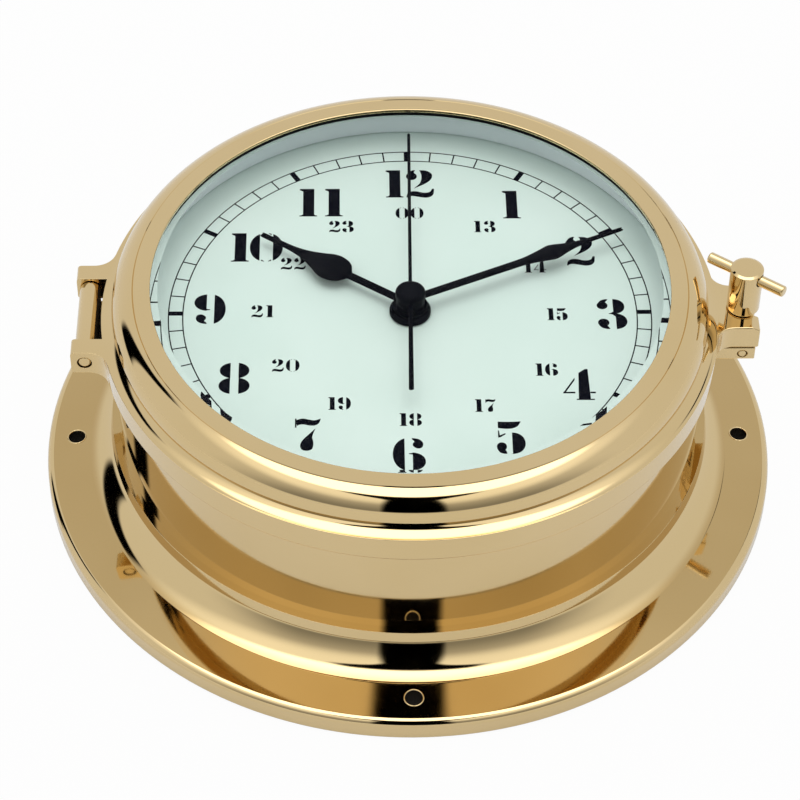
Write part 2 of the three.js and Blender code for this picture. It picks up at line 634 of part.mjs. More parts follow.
function minuteOutline() {
  const start = HUB_RADIUS - 1;
  const leaf = MINUTE_LENGTH - 31;
  return [
    [1.15, start], [1.2, leaf], [1.55, leaf + 2], [2.15, leaf + 5.3], [2.75, leaf + 8.2],
    [1.95, leaf + 12.1], [1.35, leaf + 14.4], [0.95, leaf + 16.8], [0.7, leaf + 21], [0.5, MINUTE_LENGTH],
  ];
}

function blade(half, low) {
  const left = half.map(([x, y]) => [-x, y]).reverse();
  return plate([...half, ...left], low, low + BLADE_THICKNESS);
}

function handTurn(degrees) {
  return THREE.MathUtils.degToRad(-degrees);
}

function makeHourHand() {
  const hub = ring(HUB_RADIUS, HOUR_PIPE_RADIUS + PUSH_FIT, HOUR_Z, HOUR_Z + HUB_HEIGHT, 24);
  const hole = rod(HUB_RADIUS - 0.4, HOUR_Z, MINUTE_Z, 24);
  return union(hub, cut(blade(hourOutline(), HOUR_Z + 0.5), hole));
}

function makeMinuteHand() {
  const hub = ring(HUB_RADIUS, MINUTE_PIPE_RADIUS + PUSH_FIT, MINUTE_Z, MINUTE_Z + HUB_HEIGHT, 24);
  const hole = rod(HUB_RADIUS - 0.4, MINUTE_Z, SECONDS_Z, 24);
  return union(hub, cut(blade(minuteOutline(), MINUTE_Z + 0.5), hole));
}

function makeSecondsHand() {
  const cap = rod(HUB_RADIUS - 0.1, SECONDS_Z, SECONDS_Z + CAP_HEIGHT, 24);
  const needle = plate([
    [-0.6, -SECONDS_TAIL], [0.6, -SECONDS_TAIL], [0.5, 0], [0.35, SECONDS_LENGTH], [-0.35, SECONDS_LENGTH],
    [-0.5, 0],
  ], SECONDS_Z + 0.4, SECONDS_Z + 0.8);
  const socket = rod(SECONDS_ARBOR_RADIUS + PUSH_FIT, SECONDS_Z - 1, SECONDS_Z + 1.3);
  return cut(union(cap, needle), socket);
}

// Outline of a wheel or pinion: narrow tips and pointed roots, one tooth centred on the phase angle
function gearOutline(teeth, module, root, phase) {
  const pitch = 2 * Math.PI / teeth;
  const tip = 0.16 * Math.PI * module;
  const outer = teeth * module / 2 + 0.7 * module;
  const inner = teeth * module / 2 - root * module;
  const list = [];
  for (let i = 0; i < teeth; i += 1) {
    const angle = phase + i * pitch;
    const half = tip / (2 * outer);
    list.push([inner * Math.cos(angle - pitch / 2), inner * Math.sin(angle - pitch / 2)]);
    list.push([outer * Math.cos(angle - half), outer * Math.sin(angle - half)]);
    list.push([outer * Math.cos(angle + half), outer * Math.sin(angle + half)]);
  }
  return list;
}

function wheel(teeth, module, level, phase = 0) {
  return plate(gearOutline(teeth, module, 1.5, phase), level, level + WHEEL_THICKNESS);
}

function pinion(teeth, module, level, phase = 0) {
  const outline = gearOutline(teeth, module, 1.3, phase);
  return plate(outline, level - PINION_OVERHANG, level + WHEEL_THICKNESS + PINION_OVERHANG);
}

// Phase that puts a gap of the second gear on the tooth of the first along their line of centres
function meshing(from, teeth, phase, to, otherTeeth) {
  const direction = Math.atan2(to.y - from.y, to.x - from.x);
  const offset = (direction - phase) * teeth / (2 * Math.PI);
  const share = offset - Math.floor(offset);
  return direction + Math.PI - (0.5 - share) * 2 * Math.PI / otherTeeth;
}

const INTERMEDIATE_PHASE = meshing(CENTRE, SECONDS_TEETH, 0, INTERMEDIATE, INTERMEDIATE_LEAVES);
const ROTOR_PHASE = meshing(INTERMEDIATE, INTERMEDIATE_TEETH, 0, ROTOR, ROTOR_LEAVES);
const THIRD_PHASE = meshing(CENTRE, SECONDS_LEAVES, 0, THIRD, THIRD_TEETH);
const CENTRE_PHASE = meshing(THIRD, THIRD_LEAVES, 0, CENTRE, CENTRE_TEETH);
const MOTION_PHASE = meshing(CENTRE, MINUTE_LEAVES, 0, MOTION, MOTION_TEETH);
const HOUR_PHASE = meshing(MOTION, MOTION_LEAVES, 0, CENTRE, HOUR_TEETH);
const SETTING_PHASE = meshing(MOTION, MOTION_TEETH, MOTION_PHASE, SETTING, SETTING_LEAVES);

function arbor(radius = ARBOR_RADIUS) {
  return rod(radius, PIVOT_BOTTOM_Z, PIVOT_TOP_Z, 10);
}

function makeRotor() {
  const magnet = rod(MAGNET_RADIUS, MOTOR_Z - MAGNET_HEIGHT / 2, MOTOR_Z + MAGNET_HEIGHT / 2, 20);
  const leaves = pinion(ROTOR_LEAVES, FAST_MODULE, INTERMEDIATE_LEVEL, ROTOR_PHASE);
  return piece('rotor', union(arbor(), magnet, leaves), finish('#3c3f45', 0.4, 0.8), ROTOR);
}

function makeIntermediate() {
  const body = union(
    arbor(),
    wheel(INTERMEDIATE_TEETH, FAST_MODULE, INTERMEDIATE_LEVEL),
    pinion(INTERMEDIATE_LEAVES, FAST_MODULE, SECONDS_LEVEL, INTERMEDIATE_PHASE),
    rod(2 * ARBOR_RADIUS, INTERMEDIATE_LEVEL, SECONDS_LEVEL, 10),
  );
  return piece('intermediate_wheel', body, whitePlastic(), INTERMEDIATE);
}

function makeSecondsWheel() {
  const body = union(
    rod(SECONDS_ARBOR_RADIUS, PIVOT_BOTTOM_Z, SECONDS_Z + 1, 12),
    wheel(SECONDS_TEETH, FAST_MODULE, SECONDS_LEVEL),
    pinion(SECONDS_LEAVES, THIRD_MODULE, THIRD_LEVEL),
  );
  return piece('seconds_wheel', body, gearBrass());
}

function makeThirdWheel() {
  const body = union(
    arbor(),
    wheel(THIRD_TEETH, THIRD_MODULE, THIRD_LEVEL, THIRD_PHASE),
    pinion(THIRD_LEAVES, SLOW_MODULE, CENTRE_LEVEL),
    rod(2 * ARBOR_RADIUS, THIRD_LEVEL, CENTRE_LEVEL - PINION_OVERHANG, 10),
  );
  return piece('third_wheel', body, whitePlastic(), THIRD);
}

// Wheel that drives the minute pipe through the friction of its spring boss
function makeCentreWheel() {
  const boss = rod(MINUTE_PIPE_RADIUS + 1, CENTRE_LEVEL - 0.4, CENTRE_LEVEL + WHEEL_THICKNESS + 0.2, 16);
  const bore = rod(MINUTE_BORE, CENTRE_LEVEL - 2, CENTRE_LEVEL + 3, 12);
  const body = cut(union(wheel(CENTRE_TEETH, SLOW_MODULE, CENTRE_LEVEL, CENTRE_PHASE), boss), bore);
  return piece('centre_wheel', body, gearBrass());
}

function makeMinutePipe() {
  const low = CENTRE_LEVEL + WHEEL_THICKNESS + 0.2 + GAP;
  const body = union(
    rod(MINUTE_PIPE_RADIUS, low, MINUTE_Z + HUB_HEIGHT, 16),
    pinion(MINUTE_LEAVES, SETTING_MODULE, MOTION_LEVEL),
  );
  return cut(body, rod(MINUTE_BORE, low - 1, SECONDS_Z, 12));
}

function makeMotionWheel() {
  const low = MOTION_LEVEL - 0.3;
  const body = union(
    wheel(MOTION_TEETH, SETTING_MODULE, MOTION_LEVEL, MOTION_PHASE),
    pinion(MOTION_LEAVES, SETTING_MODULE, HOUR_LEVEL),
    rod(2 * ARBOR_RADIUS + 0.4, low, HOUR_LEVEL, 12),
  );
  const bore = rod(ARBOR_RADIUS + RUNNING, low - 1, INNER_FRONT_Z + 1, 12);
  return piece('motion_wheel', cut(body, bore), whitePlastic(), MOTION);
}

function makeHourWheel() {
  const body = union(
    wheel(HOUR_TEETH, SETTING_MODULE, HOUR_LEVEL, HOUR_PHASE),
    rod(HOUR_PIPE_RADIUS, HOUR_LEVEL, HOUR_Z + HUB_HEIGHT, 20),
  );
  return cut(body, rod(HOUR_BORE, HOUR_LEVEL - 1, MINUTE_Z, 16));
}

function makeKnob() {
  const shaft = 2 * ARBOR_RADIUS;
  const knobTop = COVER_TOP_Z - COVER_THICKNESS - GAP;
  const grip = gearOutline(18, 2 * KNOB_RADIUS / 19.4, 0.4, 0);
  const body = union(
    rod(shaft, knobTop, MOTION_LEVEL + WHEEL_THICKNESS + 0.5, 12),
    pinion(SETTING_LEAVES, SETTING_MODULE, MOTION_LEVEL, SETTING_PHASE),
    plate(grip, knobTop - KNOB_HEIGHT, knobTop),
  );
  return piece('setting_knob', body, blackPlastic(), SETTING);
}

// Shallow box, open at the back, with the dial bush in front and a wall beside the battery bay
function makeHousing() {
  const inner = HOUSING_HALF - HOUSING_WALL;
  const low = -HOUSING_BOTTOM;
  const box = block(-HOUSING_HALF, HOUSING_HALF, low, HOUSING_TOP, REAR_Z, FRONT_Z);
  const gearBay = block(-inner, inner, PARTITION_Y, HOUSING_TOP - HOUSING_WALL, REAR_Z - 1, INNER_FRONT_Z);
  const bayTop = PARTITION_Y - PARTITION_WALL;
  const batteryBay = block(-inner, inner, low + HOUSING_WALL, bayTop, REAR_Z - 1, INNER_FRONT_Z);
  const bush = rod(BUSH_RADIUS, FRONT_Z - 0.5, BUSH_TOP_Z, 24);
  const bore = rod(BUSH_RADIUS - BUSH_WALL, INNER_FRONT_Z - 1, BUSH_TOP_Z + 1, 20);
  const stud = pinAt(MOTION, MOTION_LEVEL - 0.6, INNER_FRONT_Z + 0.5);
  const body = cut(union(cut(box, gearBay, batteryBay), bush), bore);
  return piece('movement_housing', union(body, stud), blackPlastic());
}

function makeCover() {
  const low = COVER_TOP_Z - COVER_THICKNESS;
  const bottom = PARTITION_Y - PARTITION_WALL;
  const body = block(-HOUSING_HALF, HOUSING_HALF, bottom, HOUSING_TOP, low, COVER_TOP_Z);
  const hole = new THREE.CylinderGeometry(2 * ARBOR_RADIUS + GAP, 2 * ARBOR_RADIUS + GAP, 6, 14);
  const opening = solid(hole.rotateX(Math.PI / 2).translate(SETTING.x, SETTING.y, COVER_TOP_Z));
  return piece('movement_cover', cut(body, opening), blackPlastic());
}

const BATTERY_Z = (INNER_FRONT_Z + REAR_Z) / 2;

function makeBattery() {
  const half = BATTERY_LENGTH / 2;
  const profile = [
    [0, -half], [BATTERY_RADIUS - 0.5, -half], [BATTERY_RADIUS, 0.5 - half], [BATTERY_RADIUS, half - 2],
    [BATTERY_RADIUS - 0.5, half - 1.4], [2.7, half - 1.4], [2.7, half], [0, half],
  ];
  const geometry = new THREE.LatheGeometry(points(profile), 16).rotateZ(-Math.PI / 2);
  const body = solid(geometry.translate(0, BATTERY_Y, BATTERY_Z));
  return piece('battery', body, finish('#8c9096', 0.35, 0.7));
}

function makeContact(name, side) {
  const near = BATTERY_LENGTH / 2 + GAP;
  const far = near + CONTACT_THICKNESS;
  const [x0, x1] = side > 0 ? [near, far] : [-far, -near];
  return piece(name, block(x0, x1, BATTERY_Y - 5, BATTERY_Y + 5, BATTERY_Z - 5, BATTERY_Z + 5), steel());
}

const CORE_RIGHT = ROTOR.x + 3.4;
const CORE_LEFT = CORE_RIGHT - COIL_LENGTH - 6;
const COIL_MIDDLE = (CORE_LEFT + CORE_RIGHT) / 2;

// Plate that leads the coil's field to both sides of the rotor
function makeStator() {
  const low = MOTOR_Z - STATOR_THICKNESS / 2;
  const high = MOTOR_Z + STATOR_THICKNESS / 2;
  const legTop = COIL_Y + CORE_HALF + 1;
  const armTop = COIL_Y - COIL_RADIUS - GAP;
  const body = union(
    pinAt(ROTOR, low, high, STATOR_RADIUS, 24),
    block(CORE_RIGHT - 2.4, CORE_RIGHT, ROTOR.y, legTop, low, high),
    block(CORE_LEFT, ROTOR.x, armTop - 2, armTop, low, high),
    block(CORE_LEFT, CORE_LEFT + 2.4, armTop - 2, legTop, low, high),
  );
  return piece('stator', cut(body, pinAt(ROTOR, low - 1, high + 1, STATOR_BORE, 24)), steel());
}

function makeCore() {
  const low = MOTOR_Z + STATOR_THICKNESS / 2 + 0.2;
  const body = block(CORE_LEFT, CORE_RIGHT, COIL_Y - CORE_HALF, COIL_Y + CORE_HALF, low, low + 1.2);
  return piece('coil_core', body, steel());
}

function makeCoil() {
  const z = MOTOR_Z + STATOR_THICKNESS / 2 + 0.8;
  const half = COIL_LENGTH / 2;
  const body = rodAlong('x', COIL_RADIUS, half, COIL_MIDDLE, COIL_Y, z, 20);
  const inner = CORE_HALF + GAP;
  const hole = block(CORE_LEFT - 1, CORE_RIGHT + 1, COIL_Y - inner, COIL_Y + inner, z - 0.9, z + 0.9);
  return piece('drive_coil', cut(body, hole), finish('#b5652e', 0.4, 0.9));
}

function pinAt(place, low, high, radius = ARBOR_RADIUS, sides = 10) {
  const geometry = new THREE.CylinderGeometry(radius, radius, high - low, sides).rotateX(Math.PI / 2);
  return solid(geometry.translate(place.x, place.y, (low + high) / 2));
}

const BOARD_LEFT = -HOUSING_HALF + HOUSING_WALL + GAP;
const BOARD_TOP = HOUSING_TOP - HOUSING_WALL - GAP;
const BOARD_Z = SECONDS_LEVEL - 4;

function makeBoard() {
  const body = block(
    BOARD_LEFT, BOARD_LEFT + BOARD_WIDTH,
    BOARD_TOP - BOARD_HEIGHT, BOARD_TOP,
    BOARD_Z, BOARD_Z + BOARD_THICKNESS);
  return piece('circuit_board', body, finish('#2f6b3f', 0.5, 0));
}

function makeChip() {
  const x = BOARD_LEFT + 3.5;
  const y = BOARD_TOP - BOARD_HEIGHT / 2;
  const low = BOARD_Z + BOARD_THICKNESS + 0.1;
  return piece('driver_chip', block(x - 2.2, x + 2.2, y - 2.2, y + 2.2, low, low + 1.2), blackPlastic());
}

function makeCrystal() {
  const x = BOARD_LEFT + BOARD_WIDTH - 2.2;
  const y = BOARD_TOP - BOARD_HEIGHT / 2;
  const z = BOARD_Z + BOARD_THICKNESS + 1.2;
  return piece('quartz_crystal', rodAlong('y', 1.1, 3, x, y, z, 12), steel());
}

function group(name, ...children) {
  const holder = new THREE.Group();
  holder.name = name;
  holder.add(...children);
  return holder;
}

const clock = group(
  'marine_clock',
  group('case',
    makeCase(), makeHingePin(), makePivotPin(),
    makeReflector(), makeDial(), makeDialWasher(), makeFixingNut()),
  group('front', makeBezel(), makeGlass(), makeGasket(), makeRetainer(), makeSeal()),
  group('latch', makeSwingBolt(), makeNut(), makeBar()),
  group(
    'hands',
    piece('hour_hand', makeHourHand(), blackLacquer(), CENTRE, handTurn(HOUR_ANGLE)),
    piece('minute_hand', makeMinuteHand(), blackLacquer(), CENTRE, handTurn(MINUTE_ANGLE)),
    piece('seconds_hand', makeSecondsHand(), blackLacquer(), CENTRE, handTurn(SECONDS_ANGLE)),
  ),
  group(
    'movement',
    makeHousing(), makeCover(),
    makeBattery(), makeContact('contact_positive', 1), makeContact('contact_negative', -1),
    makeBoard(), makeChip(), makeCrystal(), makeStator(), makeCore(), makeCoil(),
  ),
  group(
    'train',
    makeRotor(), makeIntermediate(), makeSecondsWheel(), makeThirdWheel(), makeCentreWheel(),
    piece('minute_pipe', makeMinutePipe(), gearBrass()),
    makeMotionWheel(),
    piece('hour_wheel', makeHourWheel(), whitePlastic()),
    makeKnob(),
  ),
);

export default clock;
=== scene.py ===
"""Marine clock in polished brass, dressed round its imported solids.

Sizes are in millimetres and are turned to metres where a mesh is made. +Z points out of the
dial, +Y to twelve o'clock, and the back of the flange lies on the floor at z = 0.
"""
from math import atan2, copysign, cos, degrees, pi, radians, sin, sqrt, tan

import bmesh
import bpy
from mathutils import Euler, Matrix, Vector
from mathutils.geometry import delaunay_2d_cdt


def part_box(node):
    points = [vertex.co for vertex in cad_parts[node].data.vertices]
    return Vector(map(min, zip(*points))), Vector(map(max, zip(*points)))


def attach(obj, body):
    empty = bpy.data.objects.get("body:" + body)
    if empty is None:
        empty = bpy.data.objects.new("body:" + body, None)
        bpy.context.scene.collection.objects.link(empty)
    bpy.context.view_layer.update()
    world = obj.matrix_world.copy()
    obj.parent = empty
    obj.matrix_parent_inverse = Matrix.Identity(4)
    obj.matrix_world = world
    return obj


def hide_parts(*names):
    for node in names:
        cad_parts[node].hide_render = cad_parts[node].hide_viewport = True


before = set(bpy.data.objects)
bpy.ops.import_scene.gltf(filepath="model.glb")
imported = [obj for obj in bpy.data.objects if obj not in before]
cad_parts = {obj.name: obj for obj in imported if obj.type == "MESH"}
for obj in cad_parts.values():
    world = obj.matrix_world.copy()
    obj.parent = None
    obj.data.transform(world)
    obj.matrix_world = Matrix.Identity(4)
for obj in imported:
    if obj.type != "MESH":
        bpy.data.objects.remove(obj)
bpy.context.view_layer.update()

MM = 0.001
# Sides of a turned piece, and the angle in degrees beyond which an edge is drawn sharp
SIDES = 192
SMALL_SIDES = 64
CREASE = 38


# Camera: at the photograph's viewing angle

CAMERA_PLACE = (-15.8116, -580.5847, 630.4)
CAMERA_TURN = (43.66719, -0.49075, -0.79699)
CAMERA_LENS = 131.1903
CAMERA_SENSOR = 36
CAMERA_NEAR = 0.01
CAMERA_FAR = 50


def set_camera():
    lens = bpy.data.cameras.new("camera")
    lens.lens = CAMERA_LENS
    lens.sensor_width = CAMERA_SENSOR
    lens.clip_start = CAMERA_NEAR
    lens.clip_end = CAMERA_FAR
    camera = bpy.data.objects.new("camera", lens)
    camera.location = Vector(CAMERA_PLACE) * MM
    camera.rotation_euler = Euler([radians(turn) for turn in CAMERA_TURN])
    bpy.context.scene.collection.objects.link(camera)
    bpy.context.scene.camera = camera


set_camera()


# Finishes

def linear(code):
    """An sRGB hex colour as the linear colour that a shader takes."""
    parts = [int(code[i:i + 2], 16) / 255 for i in (1, 3, 5)]
    return [p / 12.92 if p <= 0.04045 else ((p + 0.055) / 1.055) ** 2.4 for p in parts] + [1.0]


def add(tree, kind, inputs, **settings):
    """Adds a node. An input is a plain value, a socket, or a node whose first output is linked."""
    made = tree.nodes.new("ShaderNode" + kind)
    for key, value in settings.items():
        setattr(made, key, value)
    for key, value in inputs.items():
        if isinstance(value, bpy.types.Node):
            value = value.outputs[0]
        if isinstance(value, bpy.types.NodeSocket):
            tree.links.new(value, made.inputs[key])
        else:
            made.inputs[key].default_value = value
    return made


def found(tree, kind):
    """The node of that kind that a finish was started with."""
    return next(node for node in tree.nodes if node.bl_idname == "ShaderNode" + kind)


def show(tree, shader):
    """Shows a shader in place of the one that a finish was started with."""
    tree.links.new(shader.outputs[0], found(tree, "OutputMaterial").inputs["Surface"])


def either(tree, *kinds):
    """Tells the rays of either kind from the rest."""
    path = add(tree, "LightPath", {}).outputs
    first, second = [path["Is %s Ray" % kind] for kind in kinds]
    return add(tree, "Math", {0: first, 1: second}, operation="MAXIMUM")


def per_metre(millimetres):
    """Texture scale of a pattern whose marks are that many millimetres wide."""
    return 1 / (millimetres * MM)


# The span of a noise that is stretched over what it drives, and the depth of a grain
NOISE_SPAN = {"From Min": 0.3, "From Max": 0.7}
RELIEF = 0.1


def dressed(name, colours, pattern, roughness=None, grain=None, bump=0.0, detail=4.0, **constants):
    """A finish that goes between two colours by a pattern, with uneven gloss and a fine grain.
    The pattern is the size of soft patches, or a function that draws it. Without a grain, the
    gloss follows the pattern. Constants are the shader's own sockets."""
    material = bpy.data.materials.new(name)
    material.use_nodes = True
    tree = material.node_tree
    tree.nodes.clear()
    link = tree.links.new
    shader = add(tree, "BsdfPrincipled", constants)
    add(tree, "OutputMaterial", {"Surface": shader})
    place = add(tree, "TexCoord", {}).outputs["Object"]
    if callable(pattern):
        share = pattern(tree, place)
    else:
        patches = add(tree, "TexNoise", {"Vector": place, "Scale": per_metre(pattern)})
        share = add(tree, "MapRange", {"Value": patches, **NOISE_SPAN})
    colour = add(tree, "Mix", {0: share, 6: linear(colours[0]), 7: linear(colours[1])},
                 data_type="RGBA")
    link(colour.outputs[2], shader.inputs["Base Color"])
    fine = share
    if grain:
        fine = add(tree, "TexNoise", {
            "Vector": place, "Scale": per_metre(grain), "Detail": detail})
    if roughness:
        gloss = add(tree, "MapRange", {
            "Value": fine, **NOISE_SPAN, "To Min": roughness[0], "To Max": roughness[1]})
        link(gloss.outputs[0], shader.inputs["Roughness"])
    if bump:
        relief = add(tree, "Bump", {"Height": fine, "Strength": bump, "Distance": RELIEF * MM})
        link(relief.outputs[0], shader.inputs["Normal"])
    return material


# Radii between which the cove's painted reflection deepens, from the drum's pale gold to the
# flange's deep gold
COVE_RUN = (89.5, 92.2)
# Where the battery's coloured end begins, along its length
COLLAR = (11.9, 12.1)
# Spacing of the coil's wire as drawn, and of a wave texture's crests, in metres, at scale 1
WIRE_SPACING = 0.157
WAVE_CREST = 0.314
TRACK_SPACING = 1.6


def painted_reflection_down_cove(tree, place):
    flat = add(tree, "VectorMath", {0: place, 1: Vector((1, 1, 0))}, operation="MULTIPLY")
    out = add(tree, "VectorMath", {0: flat}, operation="LENGTH").outputs["Value"]
    return add(tree, "MapRange", {
        "Value": out, "From Min": COVE_RUN[0] * MM, "From Max": COVE_RUN[1] * MM},
        interpolation_type="SMOOTHSTEP")


def wire_turns(tree, place):
    return add(tree, "TexWave", {
        "Vector": place, "Scale": WAVE_CREST / (WIRE_SPACING * MM), "Distortion": 0.4}).outputs[1]


def copper_lines(tree, place):
    lines = add(tree, "TexVoronoi", {"Vector": place, "Scale": per_metre(TRACK_SPACING)},
                distance="CHEBYCHEV")
    return add(tree, "MapRange", {"Value": lines, **NOISE_SPAN})


def film_collar(tree, place):
    along = add(tree, "SeparateXYZ", {0: place})
    return add(tree, "MapRange", {
        "Value": along, "From Min": COLLAR[0] * MM, "From Max": COLLAR[1] * MM})


# Solid brass, buffed, under a clear coat of lacquer
LACQUERED = {"roughness": (0.035, 0.065), "grain": 6, "Metallic": 1.0,
             "Coat Weight": 0.9, "Coat Roughness": 0.03, "Coat IOR": 1.5}
# Yellow brass, turned, buffed to a mirror and lacquered: sharp pale gold reflections, with a
# breath of uneven lacquer that shows only where a bright edge is mirrored
POLISHED_BRASS = dressed("polished_lacquered_brass", ("#E1C793", "#DDC28B"), 40, **LACQUERED)
# The same brass painted a deeper gold on the flange's flat top: painted reflection of the brass it
# mirrors
FLANGE_PAINTED_REFLECTION = dressed("brass_painted_deep_reflection", ("#C9AB70", "#C4A569"), 40, **LACQUERED)
# The cove between them: its painted reflection deepens from the drum's pale gold to the flange's
# deep gold
COVE_PAINTED_REFLECTION_RAMP = dressed(
    "brass_painted_reflection_ramp", ("#DFC58F", "#C7A86D"), painted_reflection_down_cove, **LACQUERED)
# Brass painted dark and dull, so that a hole reads as a hole: painted shade in screw holes and the
# hinge gap
BRASS_PAINTED_SHADE = dressed(
    "brass_painted_dark_shade", ("#2E2414", "#231B0F"), 2, (0.5, 0.7), 0.3, 0.2, Metallic=0.6)
# Rolled brass sheet, cut and brushed: duller and redder than the case
GEAR_BRASS = dressed(
    "brushed_gear_brass", ("#C9A85C", "#BD9A4E"), 4, (0.28, 0.42), 0.3, 0.1, Metallic=1.0)
# Stoved black lacquer over steel: deep blue black with a soft sheen
HAND_LACQUER = dressed(
    "stoved_black_lacquer", ("#05060F", "#080912"), 8, (0.3, 0.42), 0.8, 0.04,
    **{"Specular IOR Level": 0.04})
# Screen ink: flat blue black with a faint tooth
DIAL_INK = dressed(
    "screen_ink_black", ("#060712", "#090A15"), 3, (0.5, 0.62), 0.4, 0.05,
    **{"Specular IOR Level": 0.03})
# Stoved enamel on an aluminium plate: pale mint with an eggshell surface
DIAL_ENAMEL = dressed(
    "stoved_mint_enamel", ("#E0F0EB", "#DCEDE7"), 25, (0.42, 0.54), 0.7, 0.03)
# Spun sheet under matt silver paint: cool pale grey, with a soft sheen
REFLECTOR_SILVER = dressed(
    "matt_silver_paint", ("#EEF5F9", "#E8F1F6"), 30, (0.4, 0.52), 1.0, 0.03)
# Moulded nitrile rubber: near black and dull, with a fine bloom
SEAL_RUBBER = dressed("moulded_nitrile_rubber", ("#17181A", "#202224"), 3, (0.75, 0.95), 0.4, 0.2)
# Injection moulded ABS: charcoal with a fine spark texture
MOVEMENT_ABS = dressed("moulded_black_abs", ("#232529", "#292B30"), 5, (0.42, 0.62), 0.35, 0.25)
# Moulded acetal: milky white, waxy
WHEEL_ACETAL = dressed("moulded_white_acetal", ("#E4E2DA", "#DAD8CE"), 3, (0.35, 0.5), 0.4, 0.08)
# Cold rolled steel, tin plated: bright with fine rolling marks
PLATED_STEEL = dressed(
    "tin_plated_steel", ("#B9BCC0", "#A9ADB2"), 3, (0.22, 0.38), 0.3, 0.08, Metallic=1.0)
# Sintered ferrite: dark, dense and slightly rough
MAGNET_FERRITE = dressed(
    "sintered_ferrite", ("#3C3F45", "#33363B"), 1.5, (0.35, 0.55), 0.25, 0.15, Metallic=0.8)
# Enamelled copper wire: red brown, in turns side by side. Real wire is about 0.03 mm, drawn here
# at about 0.15 mm so that the turns show
COIL_WIRE = dressed(
    "enamelled_copper_wire", ("#7E3F1A", "#C0723A"), wire_turns, (0.28, 0.4), bump=0.5,
    Metallic=0.9)
# Glass epoxy laminate under a green mask: satin, with the copper lines showing through
BOARD_LAMINATE = dressed(
    "green_masked_laminate", ("#24583A", "#327548"), copper_lines, (0.3, 0.45), 0.5, detail=2.0)
# Printed film shrunk over a dry cell: plain graphite with a copper coloured end, satin
CELL_FILM = dressed(
    "printed_cell_film", ("#2D3036", "#B07A45"), film_collar, (0.25, 0.38), 0.8, detail=3.0,
    Metallic=0.35)

GLASS_INDEX = 1.5
UNCOATED_SHARE = 0.04


def clear_glass():
    """Bevelled glass, coated against reflections: clear and sharp, with faint wiping marks in its
    gloss. The coating leaves only a trace of mirror. Light that falls on the dial passes
    straight through."""
    material = dressed(
        "bevelled_coated_glass", ("#FEFFFE", "#FCFEFD"), 60, (0.0, 0.012), 18, detail=3.0,
        **{"Transmission Weight": 1.0, "IOR": GLASS_INDEX})
    tree = material.node_tree
    shader = found(tree, "BsdfPrincipled")
    tint, wiped = [shader.inputs[key].links[0].from_socket for key in ("Base Color", "Roughness")]
    passed = either(tree, "Shadow", "Diffuse")
    window = add(tree, "BsdfTransparent", {"Color": linear("#FDFEFD")})
    bent = add(tree, "BsdfRefraction", {"Color": tint, "Roughness": wiped, "IOR": GLASS_INDEX})
    coated = add(tree, "MixShader", {0: UNCOATED_SHARE, 1: bent, 2: shader})
    show(tree, add(tree, "MixShader", {0: passed, 1: coated, 2: window}))
    return material


FRONT_GLASS = clear_glass()


# Making meshes

def placed(name, mesh, finish):
    mesh.materials.clear()
    mesh.materials.append(finish)
    piece = bpy.data.objects.new(name, mesh)
    bpy.context.scene.collection.objects.link(piece)
    return piece


def from_faces(name, points, faces, finish, crease=CREASE):
    """A closed piece from points in millimetres, shaded smooth except at sharp edges."""
    mesh = bpy.data.meshes.new(name)
    mesh.from_pydata([Vector(p) * MM for p in points], [], faces)
    shell = bmesh.new()
    shell.from_mesh(mesh)
    bmesh.ops.recalc_face_normals(shell, faces=shell.faces)
    shell.to_mesh(mesh)
    shell.free()
    soften(mesh, crease)
    return placed(name, mesh, finish)


def soften(mesh, crease):
    mesh.shade_smooth()
    mesh.set_sharp_from_angle(angle=radians(crease))


def arc(x, y, radius, start, end, steps):
    turns = [radians(start + (end - start) * i / steps) for i in range(steps + 1)]
    return [(x + radius * cos(t), y + radius * sin(t)) for t in turns]


def bar(x0, y0, x1, y1):
    return [(x0, y0), (x1, y0), (x1, y1), (x0, y1)]


# How far beside a round its flat is held, the steps of a round, and how much of the shorter side
# a round and the flat beside it may take
SUPPORT = 0.15
ROUND_STEPS = 5
ROUND_SHARE = 0.48
FLAT_SHARE = 0.4


def rounded(corners, closed=True):
    """Rounds each corner that has a third number, its radius. A point beside each round keeps
    the flat next to it flat in its shading."""
    path = []
    count = len(corners)
    for i, corner in enumerate(corners):
        here = Vector(corner[:2])
        ends = not closed and i in (0, count - 1)
        if len(corner) < 3 or ends:
            path.append(tuple(here))
            continue
        back = Vector(corners[i - 1][:2]) - here
        ahead = Vector(corners[(i + 1) % count][:2]) - here
        room = min(back.length, ahead.length)
        back.normalize()
        ahead.normalize()
        half = back.angle(ahead) / 2
        reach = min(corner[2] / tan(half), ROUND_SHARE * room)
        radius = reach * tan(half)
        middle = here + (back + ahead).normalized() * radius / sin(half)
        first = here + back * reach
        last = here + ahead * reach
        side = min(SUPPORT, FLAT_SHARE * (room - reach))
        path.append(tuple(first + back * side))
        start = first - middle
        sweep = start.angle_signed(last - middle)
        for k in range(ROUND_STEPS + 1):
            path.append(tuple(middle + Matrix.Rotation(-sweep * k / ROUND_STEPS, 2) @ start))
        path.append(tuple(last + ahead * side))
    return path


